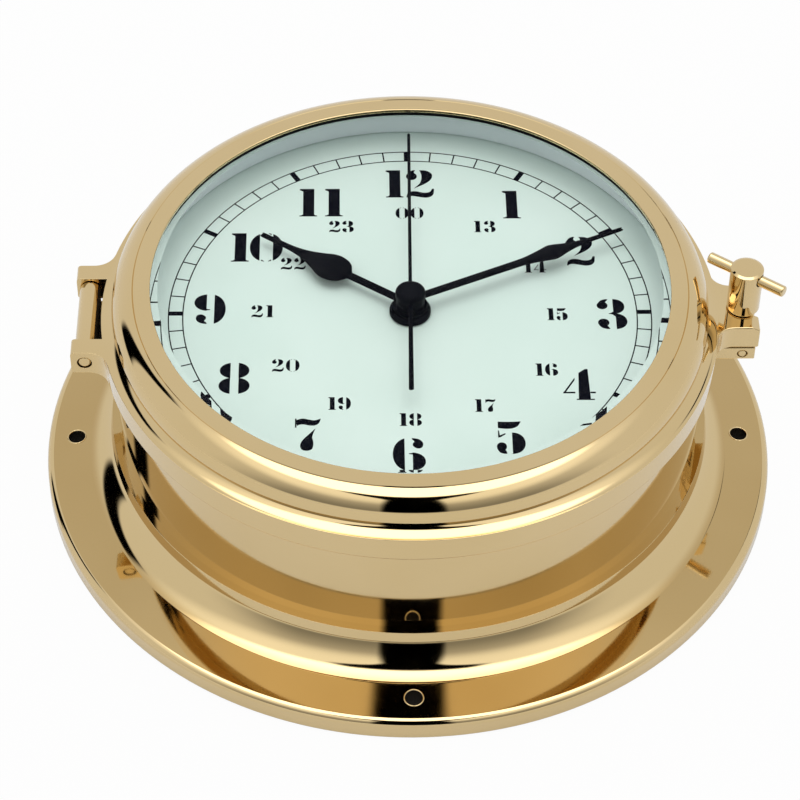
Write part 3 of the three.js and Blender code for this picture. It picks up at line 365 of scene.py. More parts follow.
def turned(name, corners, finish, sides=SIDES, at=(0, 0), crease=CREASE):
    """A piece turned on the lathe: corners of radius and height, spun about its axis."""
    on_axis = corners[0][0] == 0
    profile = rounded(corners, closed=not on_axis)
    points, rings = [], []
    for radius, height in profile:
        if radius < 1e-6:
            rings.append([len(points)])
            points.append((at[0], at[1], height))
            continue
        rings.append(list(range(len(points), len(points) + sides)))
        for i in range(sides):
            turn = 2 * pi * i / sides
            x, y = radius * cos(turn), radius * sin(turn)
            points.append((at[0] + x, at[1] + y, height))
    pairs = list(zip(rings, rings[1:]))
    if not on_axis:
        pairs.append((rings[-1], rings[0]))
    faces = []
    for low, high in pairs:
        for i in range(sides):
            j = (i + 1) % sides
            around = [ring[k % len(ring)] for ring, k in ((low, i), (low, j), (high, j), (high, i))]
            faces.append(tuple(dict.fromkeys(around)))
    return from_faces(name, points, faces, finish, crease)


def plate(name, outline, low, high, finish=POLISHED_BRASS, side=False, crease=CREASE):
    """An outline given a thickness: a plan from one height to another, or, with side, an
    outline of x and z from one y to another."""
    count = len(outline)

    def point(p, level):
        return (p[0], level, p[1]) if side else (p[0], p[1], level)

    points = [point(p, low) for p in outline] + [point(p, high) for p in outline]
    walls = [(i, (i + 1) % count, count + (i + 1) % count, count + i) for i in range(count)]
    caps = [tuple(range(count)), tuple(range(count, 2 * count))]
    return from_faces(name, points, walls + caps, finish, crease)


def settle(piece):
    """Makes a piece's modifiers part of its mesh."""
    bpy.context.view_layer.update()
    shown = piece.evaluated_get(bpy.context.evaluated_depsgraph_get())
    mesh = bpy.data.meshes.new_from_object(shown)
    piece.modifiers.clear()
    piece.data = mesh


def worked(piece, tool, how="DIFFERENCE", crease=CREASE):
    """Cuts, joins or trims a piece with another, which is used up. Cut faces take its finish."""
    cut = piece.modifiers.new("work", "BOOLEAN")
    cut.object = tool
    cut.operation = how
    cut.solver = "EXACT"
    cut.material_mode = "TRANSFER"
    settle(piece)
    bpy.data.objects.remove(tool)
    soften(piece.data, crease)
    return piece


def eased(piece, width, steps=3, crease=CREASE):
    """Breaks the sharp edges, as polishing does."""
    bevel = piece.modifiers.new("edges", "BEVEL")
    bevel.width = width * MM
    bevel.segments = steps
    bevel.limit_method = "ANGLE"
    bevel.angle_limit = radians(crease)
    bevel.harden_normals = True
    piece.data.shade_smooth()
    settle(piece)
    return piece


def rod(name, radius, half, at, ease=0.2, turn=0.0):
    """A brass rod that lies along y, or is turned from there about z, with eased ends."""
    made = turned(name, [(0, -half), (radius, -half, ease), (radius, half, ease), (0, half)],
                  POLISHED_BRASS, SMALL_SIDES)
    lie = Matrix.Rotation(radians(turn), 4, "Z") @ Matrix.Rotation(radians(90), 4, "X")
    made.data.transform(Matrix.Translation(Vector(at) * MM) @ lie)
    return made


def joined(name, *parts):
    """Several meshes as one piece."""
    whole = bmesh.new()
    for part in parts:
        whole.from_mesh(part.data)
    mesh = bpy.data.meshes.new(name)
    whole.to_mesh(mesh)
    whole.free()
    finish = parts[0].data.materials[0]
    for part in parts:
        bpy.data.objects.remove(part)
    soften(mesh, CREASE)
    return placed(name, mesh, finish)


def fitted(piece, body, slot, *nodes):
    """Hangs a piece on the body it moves with, in place of the solids it stands for."""
    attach(piece, body)
    if nodes:
        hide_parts(*nodes)
    return piece


# Case: flange, base moulding, drum and neck, turned in one

# The flange falls outwards, from where the cove starts to its edge
FLANGE_RADIUS = 105
FLANGE_TOP = 7
FLANGE_EDGE = 6.4
FLANGE_ROOT = (92.2, 7.5)
FLANGE_FALL = (FLANGE_ROOT[1] - FLANGE_EDGE) / (FLANGE_RADIUS - FLANGE_ROOT[0])
COVE = 13.4
COVE_AT = (95.21, 20.56)
COVE_HEAD = 82.4
STEP_RADIUS = 86
STEP_TOP = 20.6
RIM_LOW = 17.3
RIM_TAPER = 0.66
DRUM_RADIUS = 83.5
DRUM_DRAFT = 0.4
DRUM_BORE = 79.5
SHOULDER = 51.5
NECK_RADIUS = 79
NECK_TOP = 62
NECK_BORE = 77.6
SEAT_BORE = 74.5
SEAT = 55.1
SCREW_CIRCLE = 96.6
SCREW_HOLE = 2.45
SCREW_PLACES = ((SCREW_CIRCLE, 0), (0, SCREW_CIRCLE), (-SCREW_CIRCLE, 0), (0, -SCREW_CIRCLE))
SCREW_LIP = 0.22
SCREW_SIDES = 48
# How far up a face has to point to count as flat, or as part of the cove
FLAT = 0.99
SLOPING = 0.3


def make_case():
    case = turned("case_turned", [
        (DRUM_BORE, 0, 0.3), (FLANGE_RADIUS, 0, 0.8), (FLANGE_RADIUS, FLANGE_EDGE, 2),
        (*FLANGE_ROOT, 4), *arc(*COVE_AT, COVE, 255, 200, 22),
        (COVE_HEAD, RIM_LOW, 1.0), (STEP_RADIUS, RIM_LOW, 0.2),
        (STEP_RADIUS - RIM_TAPER, STEP_TOP, 0.05), (DRUM_RADIUS - DRUM_DRAFT, STEP_TOP),
        (DRUM_RADIUS, SHOULDER, 0.25),
        (NECK_RADIUS, SHOULDER, 0.2), (NECK_RADIUS, NECK_TOP, 0.25), (NECK_BORE, NECK_TOP, 0.25),
        (NECK_BORE, SEAT, 0.15), (SEAT_BORE, SEAT, 0.2), (SEAT_BORE, SHOULDER, 0.2),
        (DRUM_BORE, SHOULDER - 4, 0.5),
    ], POLISHED_BRASS)
    # The holes' walls take the dark brass: painted shade in the holes
    drills = [turned("drill", [
        (0, -1), (SCREW_HOLE, -1), (SCREW_HOLE, FLANGE_TOP + 1), (0, FLANGE_TOP + 1)],
        BRASS_PAINTED_SHADE, SCREW_SIDES, at) for at in SCREW_PLACES]
    worked(case, joined("drills", *drills), crease=30)
    flange = len(case.data.materials)
    case.data.materials.append(FLANGE_PAINTED_REFLECTION)
    case.data.materials.append(COVE_PAINTED_REFLECTION_RAMP)
    # Up-facing flats of the flange take the painted deeper gold and the cove the ramp to it:
    # painted reflection
    for face in case.data.polygons:
        out, up = face.center.xy.length / MM, face.center.z / MM
        if face.normal.z > FLAT and 0 < up < SHOULDER / 2:
            face.material_index = flange
        elif face.normal.z > SLOPING and up < RIM_LOW and out < FLANGE_ROOT[0]:
            face.material_index = flange + 1
    return case


def make_screw_lips():
    """The burnished lip round each screw hole. It leans with the flange, which falls outwards."""
    height = FLANGE_ROOT[1] - FLANGE_FALL * (SCREW_CIRCLE - FLANGE_ROOT[0])
    bead = arc(SCREW_HOLE + 0.15, height - 0.08, SCREW_LIP, 0, 330, 11)
    lips = joined("screw_lips", *[
        turned("lip", bead, POLISHED_BRASS, SCREW_SIDES, at) for at in SCREW_PLACES])
    for point in lips.data.vertices:
        point.co.z -= FLANGE_FALL * (point.co.xy.length - SCREW_CIRCLE * MM)
    return lips


fitted(make_case(), "case", "polished_brass", "case_body")
fitted(make_screw_lips(), "case", "polished_brass")


# Hinge at nine o'clock and swing bolt latch at three o'clock

SKIRT_RADIUS = 86.1
SKIRT_LOW = 51.8
SKIRT_TOP = 59.4
ROOT_RADIUS = 83.3
HINGE_X = -90
HINGE_Z = 55.6
BARREL_RADIUS = 3
BARREL_HALF = 11.6
HINGE_BORE = 2.05
HINGE_PIN = 1.75
ARM_INNER = 11.9
ARM_OUTER = 17.4
ARM_END = 93.8
ARM_CORNER = 1.1
ARM_FILLET = 6
GUSSET_LOW = 45.5
# How deep the knuckle and the clevis are let into the drum
KNUCKLE_ROOT = 1.8
CLEVIS_ROOT = 1.5
# How far a face of the knuckle has to point towards the bezel to be painted dark as shade
FACING = 0.75
BOLT_X = 93
BOLT_RADIUS = 2.7
BOLT_TOP = 69.2
BOLT_THREAD = 0.4
BOLT_THREAD_LOW = 58.6
THREAD_LAND = 0.1
SLOT_HALF = 3.0
LUG_HALF = 8.7
LUG_END = 97.3
LUG_FILLET = 5
CLEVIS_HALF = 8.6
CLEVIS_END = 96.6
CLEVIS_LOW = 47.2
PIVOT_Z = 49.15
PIVOT_PIN = 1.2
PIVOT_BORE = 1.35
NUT_RADIUS = 4.6
NUT_LOW = 59.7
NUT_TOP = 74.3
NUT_BORE = 3.0
NUT_CHAMFER = 0.8
NUT_CAP = 4.7
BAR_RADIUS = 1.6
BAR_HALF = 12
BAR_Z = 71.8
BAR_TURN = -36


def make_hinge_knuckle():
    """Barrel on a gusset that runs down the drum. Its faces in the narrow gap to the bezel are
    painted dark: painted shade."""
    wall = -(DRUM_RADIUS - KNUCKLE_ROOT)
    top = SHOULDER - 0.3
    barrel = arc(HINGE_X, HINGE_Z, BARREL_RADIUS, 205, -26, 28)
    outline = [(wall, top), (wall, GUSSET_LOW), *barrel, (HINGE_X + BARREL_RADIUS * 0.9, top)]
    knuckle = plate("hinge_knuckle", outline, -BARREL_HALF, BARREL_HALF, side=True)
    bore = rod("bore", HINGE_BORE, BARREL_HALF + 2, (HINGE_X, 0, HINGE_Z))
    eased(worked(knuckle, bore), 0.3)
    # Faces towards the drum and under the barrel take the dark brass: painted shade in the gap
    knuckle.data.materials.append(BRASS_PAINTED_SHADE)
    for face in knuckle.data.polygons:
        inwards = face.normal.x > FACING
        upwards = face.normal.z > FACING and face.center.z < HINGE_Z * MM
        if (inwards or upwards) and face.center.x > HINGE_X * MM:
            face.material_index = 1
    return knuckle


def fillet_to_ring(outer, fillet):
    """Plan points of a hollow fillet from a lug's side to the ring, on the right hand side."""
    y = outer + fillet
    x = sqrt((SKIRT_RADIUS + fillet) ** 2 - y ** 2)
    end = degrees(atan2(y, x)) - 180
    return arc(x, y, fillet, -90, end, 12)


def on_root(y):
    return (sqrt(ROOT_RADIUS ** 2 - y ** 2), y)


def make_hinge_arm(name, side):
    """One of the two arms of the bezel that straddle the barrel."""
    fillet = fillet_to_ring(ARM_OUTER, ARM_FILLET)
    foot = [on_root(ARM_INNER + (fillet[-1][1] - ARM_INNER) * i / 8) for i in range(8, -1, -1)]
    plan = [(ARM_END, ARM_INNER), (ARM_END, ARM_OUTER), *fillet, *foot]
    arm = plate(name, [(-x, side * y) for x, y in plan], SKIRT_LOW, SKIRT_TOP)
    profile = rounded([(-80, SKIRT_LOW), (-80, SKIRT_TOP), (-ARM_END, SKIRT_TOP, ARM_CORNER),
                       (-ARM_END, SKIRT_LOW, ARM_CORNER)])
    trim = plate("trim", profile, -40, 40, side=True)
    bore = rod("bore", HINGE_BORE, 40, (HINGE_X, 0, HINGE_Z))
    return eased(worked(worked(arm, trim, "INTERSECT"), bore), 0.5, 4)


def make_latch_lug():
    """Forked lug of the bezel under the nut, its tips relieved for the nut to swing out."""
    fillet = fillet_to_ring(LUG_HALF, LUG_FILLET)
    edge = fillet[-1][1]
    foot = [on_root(edge * (1 - i / 10)) for i in range(21)]
    half = [(LUG_END, SLOT_HALF), (LUG_END, LUG_HALF), *fillet]
    mirrored = [(x, -y) for x, y in reversed(half)]
    seat = arc(BOLT_X, 0, SLOT_HALF, 270, 90, 20)
    plan = [*half, *foot, *mirrored, *seat]
    lug = plate("bezel_latch_lug", plan, SKIRT_LOW, SKIRT_TOP)
    wedge = [(LUG_END - 2, SKIRT_TOP), (LUG_END + 1, SKIRT_TOP - 1.5),
             (LUG_END + 1, SKIRT_TOP + 1), (LUG_END - 2, SKIRT_TOP + 1)]
    relief = plate("relief", wedge, -20, 20, side=True)
    return eased(worked(lug, relief, crease=20), 0.5, 4, crease=20)


def make_clevis():
    """Forked block on the drum that holds the bolt's pivot pin."""
    root = DRUM_RADIUS - CLEVIS_ROOT
    across = [CLEVIS_HALF * (1 - i / 6) for i in range(13)]
    foot = [(sqrt(root ** 2 - y ** 2), y) for y in across]
    slot = BOLT_X - BOLT_RADIUS - 0.4
    plan = [(slot, SLOT_HALF), (CLEVIS_END, SLOT_HALF), (CLEVIS_END, CLEVIS_HALF), *foot,
            (CLEVIS_END, -CLEVIS_HALF), (CLEVIS_END, -SLOT_HALF), (slot, -SLOT_HALF)]
    block = plate("latch_clevis", plan, CLEVIS_LOW, SHOULDER)
    bore = rod("bore", PIVOT_BORE, CLEVIS_HALF + 3, (BOLT_X, 0, PIVOT_Z))
    return eased(worked(block, bore), 0.3)


def rolled_thread(radius, depth, height, end):
    """Profile of a thread, drawn as grooves side by side."""
    profile = []
    while height < end:
        profile += [(radius, height), (radius - depth, height + depth),
                    (radius, height + 2 * depth)]
        height += 2 * depth + THREAD_LAND
    return profile


def make_swing_bolt():
    """Bolt with a rounded eye on the pivot pin and a rolled thread for the nut."""
    thread = rolled_thread(BOLT_RADIUS, BOLT_THREAD, BOLT_THREAD_LOW, BOLT_TOP - 1.2)
    bolt = turned("swing_bolt_threaded", [
        (0, PIVOT_Z), (BOLT_RADIUS, PIVOT_Z), *thread, (BOLT_RADIUS, BOLT_TOP, 0.6), (0, BOLT_TOP),
    ], POLISHED_BRASS, SMALL_SIDES, (BOLT_X, 0))
    eye = rod("eye", BOLT_RADIUS, BOLT_RADIUS - 0.05, (BOLT_X, 0, PIVOT_Z), 0.3)
    bore = rod("bore", PIVOT_BORE, 6, (BOLT_X, 0, PIVOT_Z))
    return worked(worked(bolt, eye, "UNION"), bore)


def make_cap_nut():
    nut = turned("cap_nut_turned", [
        (NUT_BORE, NUT_LOW, 0.2), (NUT_RADIUS, NUT_LOW, 0.35),
        (NUT_RADIUS, NUT_TOP - NUT_CHAMFER / 2, 0.15), (NUT_RADIUS - NUT_CHAMFER, NUT_TOP, 0.08),
        (0.001, NUT_TOP), (0.001, NUT_TOP - NUT_CAP), (NUT_BORE, NUT_TOP - NUT_CAP, 0.2),
    ], POLISHED_BRASS, SMALL_SIDES, (BOLT_X, 0))
    hole = rod("hole", BAR_RADIUS + 0.3, NUT_RADIUS + 3, (BOLT_X, 0, BAR_Z), turn=90 + BAR_TURN)
    return worked(nut, hole)


fitted(make_hinge_knuckle(), "case", "polished_brass", "case_body")
fitted(make_clevis(), "case", "polished_brass", "case_body")
fitted(rod("hinge_pin_turned", HINGE_PIN, ARM_OUTER - 0.2, (HINGE_X, 0, HINGE_Z), 0.4),
       "case", "polished_brass", "hinge_pin")
fitted(rod("pivot_pin_turned", PIVOT_PIN, CLEVIS_HALF - 0.1, (BOLT_X, 0, PIVOT_Z), 0.3),
       "case", "polished_brass", "latch_pivot_pin")
fitted(make_swing_bolt(), "swing_bolt", "polished_brass", "swing_bolt")
fitted(make_cap_nut(), "latch_nut", "polished_brass", "latch_nut")
fitted(rod("tommy_bar_turned", BAR_RADIUS, BAR_HALF, (BOLT_X, 0, BAR_Z), 0.5, 90 + BAR_TURN),
       "latch_nut", "polished_brass", "tommy_bar")


# Bezel, glass and the rings round the dial

OPENING = 72
FACE = 70
LIP_UNDER = 69
ROLL_AT = (75.6, 62.4)
ROLL = 7.5
QUIRK = 76.85
BEZEL_COVE = 6
SKIRT_BORE = 81.9
BEZEL_NECK = 79.8
CEILING = 65.2
RETAINER_BORE = 76.8
GLASS_POCKET = 75.2
GLASS_LOW = 66.5
GLASS_RADIUS = 74.9
TAPER_LOW = 55.5
TAPER_TOP = 57.6
# The glass's bevel: its outer and inner radius, and its height at the outer one
BEVEL_OUTER = 72.4
BEVEL_INNER = 70
BEVEL_LOW = 67.6
# The silvered ring: its inner and outer radius, its foot, and the brim that it hangs by
RING_INNER = 76.2
RING_OUTER = 77.3
RING_LOW = 56.5
BRIM_RADIUS = 78.8
BRIM_LOW = 62.3
BRIM_TOP = 63
# Plain rings behind the glass: inner radius, lower face, outer radius, upper face, eased edge
GASKET = (72.6, 68.2, 74.8, 68.8, 0.2)
RETAINER = (73.2, 65.4, 76.5, 66.2, 0.2)
SEAL = (77.0, 63.3, 78.6, 64.9, 0.6)


def make_bezel():
    return turned("bezel_turned", [
        (OPENING, LIP_UNDER, 0.2), (OPENING, FACE, 0.3),
        (QUIRK - 0.2, FACE - 0.13), (QUIRK, FACE - 0.4),
        *arc(*ROLL_AT, ROLL, 79, 0, 26),
        *arc(SKIRT_RADIUS, SKIRT_TOP + BEZEL_COVE, BEZEL_COVE, 231, 267, 12),
        (SKIRT_RADIUS, SKIRT_TOP, 0.25), (SKIRT_RADIUS, SKIRT_LOW, 0.35),
        (SKIRT_BORE, SKIRT_LOW, 0.25), (SKIRT_BORE, TAPER_LOW, 0.2), (BEZEL_NECK, TAPER_TOP, 0.2),
        (BEZEL_NECK, CEILING, 0.2), (RETAINER_BORE, CEILING, 0.15),
        (RETAINER_BORE, GLASS_LOW - 0.1, 0.1), (GLASS_POCKET, GLASS_LOW - 0.1, 0.1),
        (GLASS_POCKET, LIP_UNDER, 0.2),
    ], POLISHED_BRASS)


def plain_ring(name, inner, low, outer, high, ease, finish, sides=SIDES):
    corners = [(*corner, ease) for corner in bar(inner, low, outer, high)]
    return turned(name, corners, finish, sides)


for piece in (make_bezel(), make_hinge_arm("bezel_hinge_arm_upper", 1),
              make_hinge_arm("bezel_hinge_arm_lower", -1), make_latch_lug()):
    fitted(piece, "bezel", "polished_brass", "bezel")
fitted(turned("front_glass", [
    (0, GLASS_LOW), (GLASS_RADIUS, GLASS_LOW, 0.15), (GLASS_RADIUS, BEVEL_LOW, 0.15),
    (BEVEL_OUTER, BEVEL_LOW), (BEVEL_INNER, LIP_UNDER), (0, LIP_UNDER),
], FRONT_GLASS, crease=8), "bezel", "clear_glass", "glass")
fitted(plain_ring("glass_gasket_ring", *GASKET, SEAL_RUBBER),
       "bezel", "black_rubber", "glass_gasket")
fitted(plain_ring("glass_retainer", *RETAINER, MOVEMENT_ABS),
       "bezel", "black_plastic", "glass_retaining_ring")
fitted(plain_ring("bezel_seal_ring", *SEAL, SEAL_RUBBER),
       "bezel", "black_rubber", "bezel_seal")
fitted(turned("reflector_spun", [
    (RING_INNER, RING_LOW, 0.15), (RING_OUTER, RING_LOW, 0.15), (RING_OUTER, BRIM_LOW),
    (BRIM_RADIUS, BRIM_LOW, 0.15), (BRIM_RADIUS, BRIM_TOP, 0.2), (RING_INNER, BRIM_TOP, 0.45),
], REFLECTOR_SILVER), "case", "reflector_metal", "reflector_ring")


# Dial and its print

DIAL_HOLE = 4.3
DIAL_RADIUS = 77.3
DIAL_LOW = 55.4
DIAL_TOP = 56.2
INK_LOW = DIAL_TOP + 0.006
INK = 0.03
TRACK_INNER = 63.5
TRACK_OUTER = 67.5
TRACK_LINE = 0.34
MINUTE_MARK = 0.4
FIVE_MINUTE_MARK = 1.6
HOUR_FIGURE = 11.75
DAY_FIGURE = 4.7
FIGURE_GAP = 0.12

fitted(turned("dial_plate", [
    (DIAL_HOLE, DIAL_LOW, 0.1), (DIAL_RADIUS, DIAL_LOW, 0.15),
    (DIAL_RADIUS, DIAL_TOP, 0.15), (DIAL_HOLE, DIAL_TOP, 0.1)],
    DIAL_ENAMEL), "case", "dial_enamel", "dial")


def oval(x, y, across, up, square=2.0, count=48):
    """A round or, with a higher square number, a straighter sided oval."""
    path = []
    for i in range(count):
        turn = 2 * pi * i / count
        c, s = cos(turn), sin(turn)
        path.append((x + across * copysign(abs(c) ** (2 / square), c),
                     y + up * copysign(abs(s) ** (2 / square), s)))
    return path


def span(start, end, leave, arrive, steps):
    """Points of a smooth curve between two knots, without the last one."""
    path = []
    for k in range(steps):
        t = k / steps
        path.append(tuple(
            start * (2 * t ** 3 - 3 * t ** 2 + 1) + leave * (t ** 3 - 2 * t ** 2 + t)
            + end * (3 * t ** 2 - 2 * t ** 3) + arrive * (t ** 3 - t ** 2)))
    return path


def flowing(knots, steps=6):
    """A smooth closed outline through its knots. A knot written twice is a corner."""
    path = []
    count = len(knots)
    for i in range(count):
        a, b, c, d = (Vector(knots[(i + k) % count]) for k in (-1, 0, 1, 2))
        if (b - c).length < 1e-9:
            continue
        before = Vector((0, 0)) if (a - b).length < 1e-9 else (c - a) / 2
        after = Vector((0, 0)) if (d - c).length < 1e-9 else (d - b) / 2
        path += span(b, c, before, after, steps)
    return path


def moon(x, y, across, up, edge, side):
    """The part of an oval on one side of an upright edge: 1 is the right side, -1 the left."""
    return [p for p in oval(x, y, across, up, 2.1) if (p[0] - edge) * side > 0]


# Fat faced stencil figures, a hundred units high: width and inked outlines
FIGURES = {
    "0": (80, [
        moon(40, 50, 40, 50.5, 28.5, -1), moon(40, 50, 40, 50.5, 51.5, 1),
        [(28, 93), (35, 98.5), (35, 100), (28, 98)], [(28, 7), (28, 2), (35, 0), (35, 1.5)],
        [(52, 93), (52, 98), (45, 100), (45, 98.5)], [(52, 7), (45, 1.5), (45, 0), (52, 2)]]),
    "1": (43, [
        bar(8.5, 2, 36, 100), bar(0, 0, 43, 3.5), [(3, 3), (40, 3), (35, 7.5), (9.5, 7.5)],
        [(0, 99), (0, 95.5), (9.5, 90), (13, 100), (2, 100)]]),
    "2": (69, [
        flowing([(33, 100), (33, 100), (50, 98.5), (62.5, 89), (65, 76), (59, 62), (44, 48),
                 (19, 33), (19, 33), (33, 50), (37.5, 64), (38.5, 80), (36, 93)]),
        oval(13.5, 77.5, 13.5, 13.5),
        flowing([(3, 82), (8, 94), (17, 100), (23, 100), (23, 100), (20, 93), (20, 85)]),
        flowing([(0, 0), (0, 0), (3, 14), (12, 21.5), (25, 22), (40, 17.5), (52, 17.5), (60, 22),
                 (64, 31), (69, 31), (69, 31), (67, 12), (59, 2), (47, -1), (32, 1.5), (15, 5),
                 (6, 3), (4, 0), (4, 0)])]),
    "3": (70, [
        moon(38.5, 75.5, 27.5, 25, 36.5, 1), moon(39, 25.5, 31, 26.5, 40, 1),
        flowing([(27, 51), (34, 54.5), (44, 60), (44, 42), (36, 48.5)]), oval(13, 79, 13, 12.5),
        oval(13.5, 21, 13.5, 13),
        flowing([(3, 83), (9, 95), (20, 100), (27, 100), (27, 100), (20, 90)]),
        flowing([(2, 17), (8, 5), (20, 0), (28, 0), (28, 0), (21, 11)])]),
    "4": (75.5, [
        [(35, 3), (63, 3), (60.5, 100), (54.5, 100), (38.5, 87.5)], bar(30, 0, 72, 3.5),
        bar(0, 21.5, 28, 26.2), bar(63, 21.5, 75.5, 26.2),
        [(0, 23.5), (6, 25.5), (28.5, 64), (28.5, 72)]]),
    "5": (66, [
        flowing([(4.5, 100), (4.5, 100), (30, 99), (57.5, 100.5), (57.5, 100.5), (50, 86), (38, 79),
                 (24, 77.5), (4.5, 80), (4.5, 80)]),
        [(4, 72), (6.5, 72), (8, 57), (21, 64), (21, 60), (9, 51), (4, 50)],
        moon(36, 32.5, 30, 33, 34, 1),
        flowing([(33, 64), (33, 64), (40, 60), (42, 33), (40, 6), (33, 0), (33, 0), (48, 5),
                 (50, 33), (48, 61)]), oval(11.5, 22, 11.5, 13),
        flowing([(1, 19), (6, 5), (16, 0), (23, 0), (23, 0), (19, 12)])]),
    "7": (60, [
        flowing([(3, 93), (10, 98.5), (20, 100), (34, 96.5), (46, 95), (59, 100), (59, 100),
                 (55, 86), (46, 79), (34, 78.5), (20, 82), (10, 81), (5, 77), (5, 77)]),
        bar(0, 72, 3.5, 100),
        flowing([(47, 69), (47, 69), (40, 44), (42.5, 25), (40, 6), (28, 0), (16, 4), (12.5, 17),
                 (18, 33), (33, 52)])]),
    "8": (72, [
        moon(36, 75, 34.5, 25.5, 28.5, -1), moon(36, 75, 34.5, 25.5, 43.5, 1),
        moon(36, 25.5, 36, 26.5, 28.5, -1), moon(36, 25.5, 36, 26.5, 43.5, 1)]),
    "9": (75, [
        moon(37.5, 50, 37.5, 50.5, 47.5, 1), moon(34.5, 72.5, 34.5, 28, 30.5, -1),
        [(25, 45.5), (38, 47.5), (38, 49.5), (25, 52)],
        flowing([(5, 20), (9, 30), (19, 32), (28, 25), (28.5, 17), (25, 11), (30.5, 4), (30.5, 0),
                 (30.5, 0), (17, 3), (8, 10)])]),
}
FIGURES["6"] = (75, [[(75 - x, 100 - y) for x, y in outline] for outline in FIGURES["9"][1]])


def figure_faces(outlines):
    """Triangles of a figure one unit high, from inked outlines that may lie over each other."""
    points, loops = [], []
    for outline in outlines:
        area = sum(a[0] * b[1] - b[0] * a[1] for a, b in zip(outline, outline[1:] + outline[:1]))
        order = outline if area > 0 else outline[::-1]
        loops.append(list(range(len(points), len(points) + len(order))))
        points += [Vector(p) / 100 for p in order]
    cut = delaunay_2d_cdt(points, [], loops, 0, 1e-6)
    return cut[0], [face for face, owners in zip(cut[2], cut[5]) if owners]


FIGURE_FACES = {digit: figure_faces(outlines) for digit, (_, outlines) in FIGURES.items()}


def raise_ink(name, sheet):
    """Gives flat print its thickness."""
    bmesh.ops.remove_doubles(sheet, verts=sheet.verts, dist=1e-4)
    loose = [v for v in sheet.verts if not v.link_faces]
    bmesh.ops.delete(sheet, geom=loose, context="VERTS")
    grown = bmesh.ops.extrude_face_region(sheet, geom=sheet.faces[:])
    for part in grown["geom"]:
        if isinstance(part, bmesh.types.BMVert):
            part.co.z += INK
    bmesh.ops.recalc_face_normals(sheet, faces=sheet.faces)
    bmesh.ops.scale(sheet, vec=(MM, MM, MM), verts=sheet.verts)
    mesh = bpy.data.meshes.new(name)
    sheet.to_mesh(mesh)
    sheet.free()
    soften(mesh, 30)
    return placed(name, mesh, DIAL_INK)


def print_figures(name, numbers, height, gaps):
    """Numbers set upright round the dial: each is its text and the middle of its place. Gaps
    give the space between two figures where it isn't the usual one."""
    sheet = bmesh.new()
    for text, x, y in numbers:
        gap = gaps.get(text, FIGURE_GAP)
        widths = [FIGURES[digit][0] / 100 for digit in text]
        left = -(sum(widths) + gap * (len(text) - 1)) / 2
        for digit, width in zip(text, widths):
            points, faces = FIGURE_FACES[digit]
            made = [sheet.verts.new((x + (left + p.x) * height, y + (p.y - 0.5) * height, INK_LOW))
                    for p in points]
            for face in faces:
                sheet.faces.new([made[i] for i in face])
            left += width + gap
    return raise_ink(name, sheet)


def print_track():
    """Minute track: two fine circles, a line each minute and a block each five minutes."""
    sheet = bmesh.new()
    steps = 360

    def at(radius, turn):
        return sheet.verts.new((radius * sin(turn), radius * cos(turn), INK_LOW))

    for radius in (TRACK_INNER, TRACK_OUTER):
        low, high = radius - TRACK_LINE / 2, radius + TRACK_LINE / 2
        inner = [at(low, 2 * pi * i / steps) for i in range(steps)]
        outer = [at(high, 2 * pi * i / steps) for i in range(steps)]
        for i in range(steps):
            j = (i + 1) % steps
            sheet.faces.new([inner[i], inner[j], outer[j], outer[i]])
    for minute in range(60):
        bold = minute % 5 == 0
        half = (FIVE_MINUTE_MARK if bold else MINUTE_MARK) / 2
        low = TRACK_INNER + TRACK_LINE / 2 + 0.01
        high = TRACK_OUTER - TRACK_LINE / 2 - 0.01
        turn = Matrix.Rotation(-radians(6 * minute), 3, "Z")
        corners = [turn @ Vector((*corner, INK_LOW)) for corner in bar(-half, low, half, high)]
        sheet.faces.new([sheet.verts.new(corner) for corner in corners])
    return raise_ink("minute_track", sheet)


HOUR_PLACES = (
    ("12", 0.8, 53.6), ("1", 30.1, 44.5), ("2", 49.0, 24.8), ("3", 56.5, -0.8), ("4", 45.7, -28.1),
    ("5", 26.3, -47.8), ("6", -1.1, -53.7), ("7", -28.2, -46.4), ("8", -48.5, -25.2),
    ("9", -56.0, 1.7), ("10", -43.3, 26.8), ("11", -25.1, 45.6))
HOUR_GAPS = {"10": 0.02, "11": 0.2, "12": 0.075}
DAY_PLACES = (
    ("00", 0.5, 41.0), ("13", 22.1, 35.2), ("14", 35.9, 18.4), ("15", 41.2, -0.8),
    ("16", 37.2, -22.4), ("17", 19.9, -35.9), ("18", -0.5, -41.0), ("19", -19.7, -34.9),
    ("20", -34.5, -20.4), ("21", -41.3, 0.8), ("22", -32.9, 20.0), ("23", -19.2, 35.4))
DAY_GAPS = {"21": 0.19, "13": 0.18, "17": 0.17}

fitted(print_figures("hour_figures", HOUR_PLACES, HOUR_FIGURE, HOUR_GAPS), "case", "black_lacquer")
fitted(print_figures("day_figures", DAY_PLACES, DAY_FIGURE, DAY_GAPS), "case", "black_lacquer")
fitted(print_track(), "case", "black_lacquer")


# Hands

FIXING_RADIUS = 5.8
FIXING_LOW = 56.5
FIXING_TOP = 58.4
DIAL_WASHER = (DIAL_HOLE, 54.2, 8, 55.1, 0.2)
HUB = 4.0
HUB_HEIGHT = 1.5
HOUR_BORE = 2.9
MINUTE_BORE = 1.9
CAP_HEIGHT = 2.6
BLADE_EDGE = 0.14
HOUR_TURN = 304.3
MINUTE_TURN = 65
SECONDS_TURN = 0.5
HOUR_LOW = 58.9
MINUTE_LOW = 60.7
SECONDS_LOW = 62.5


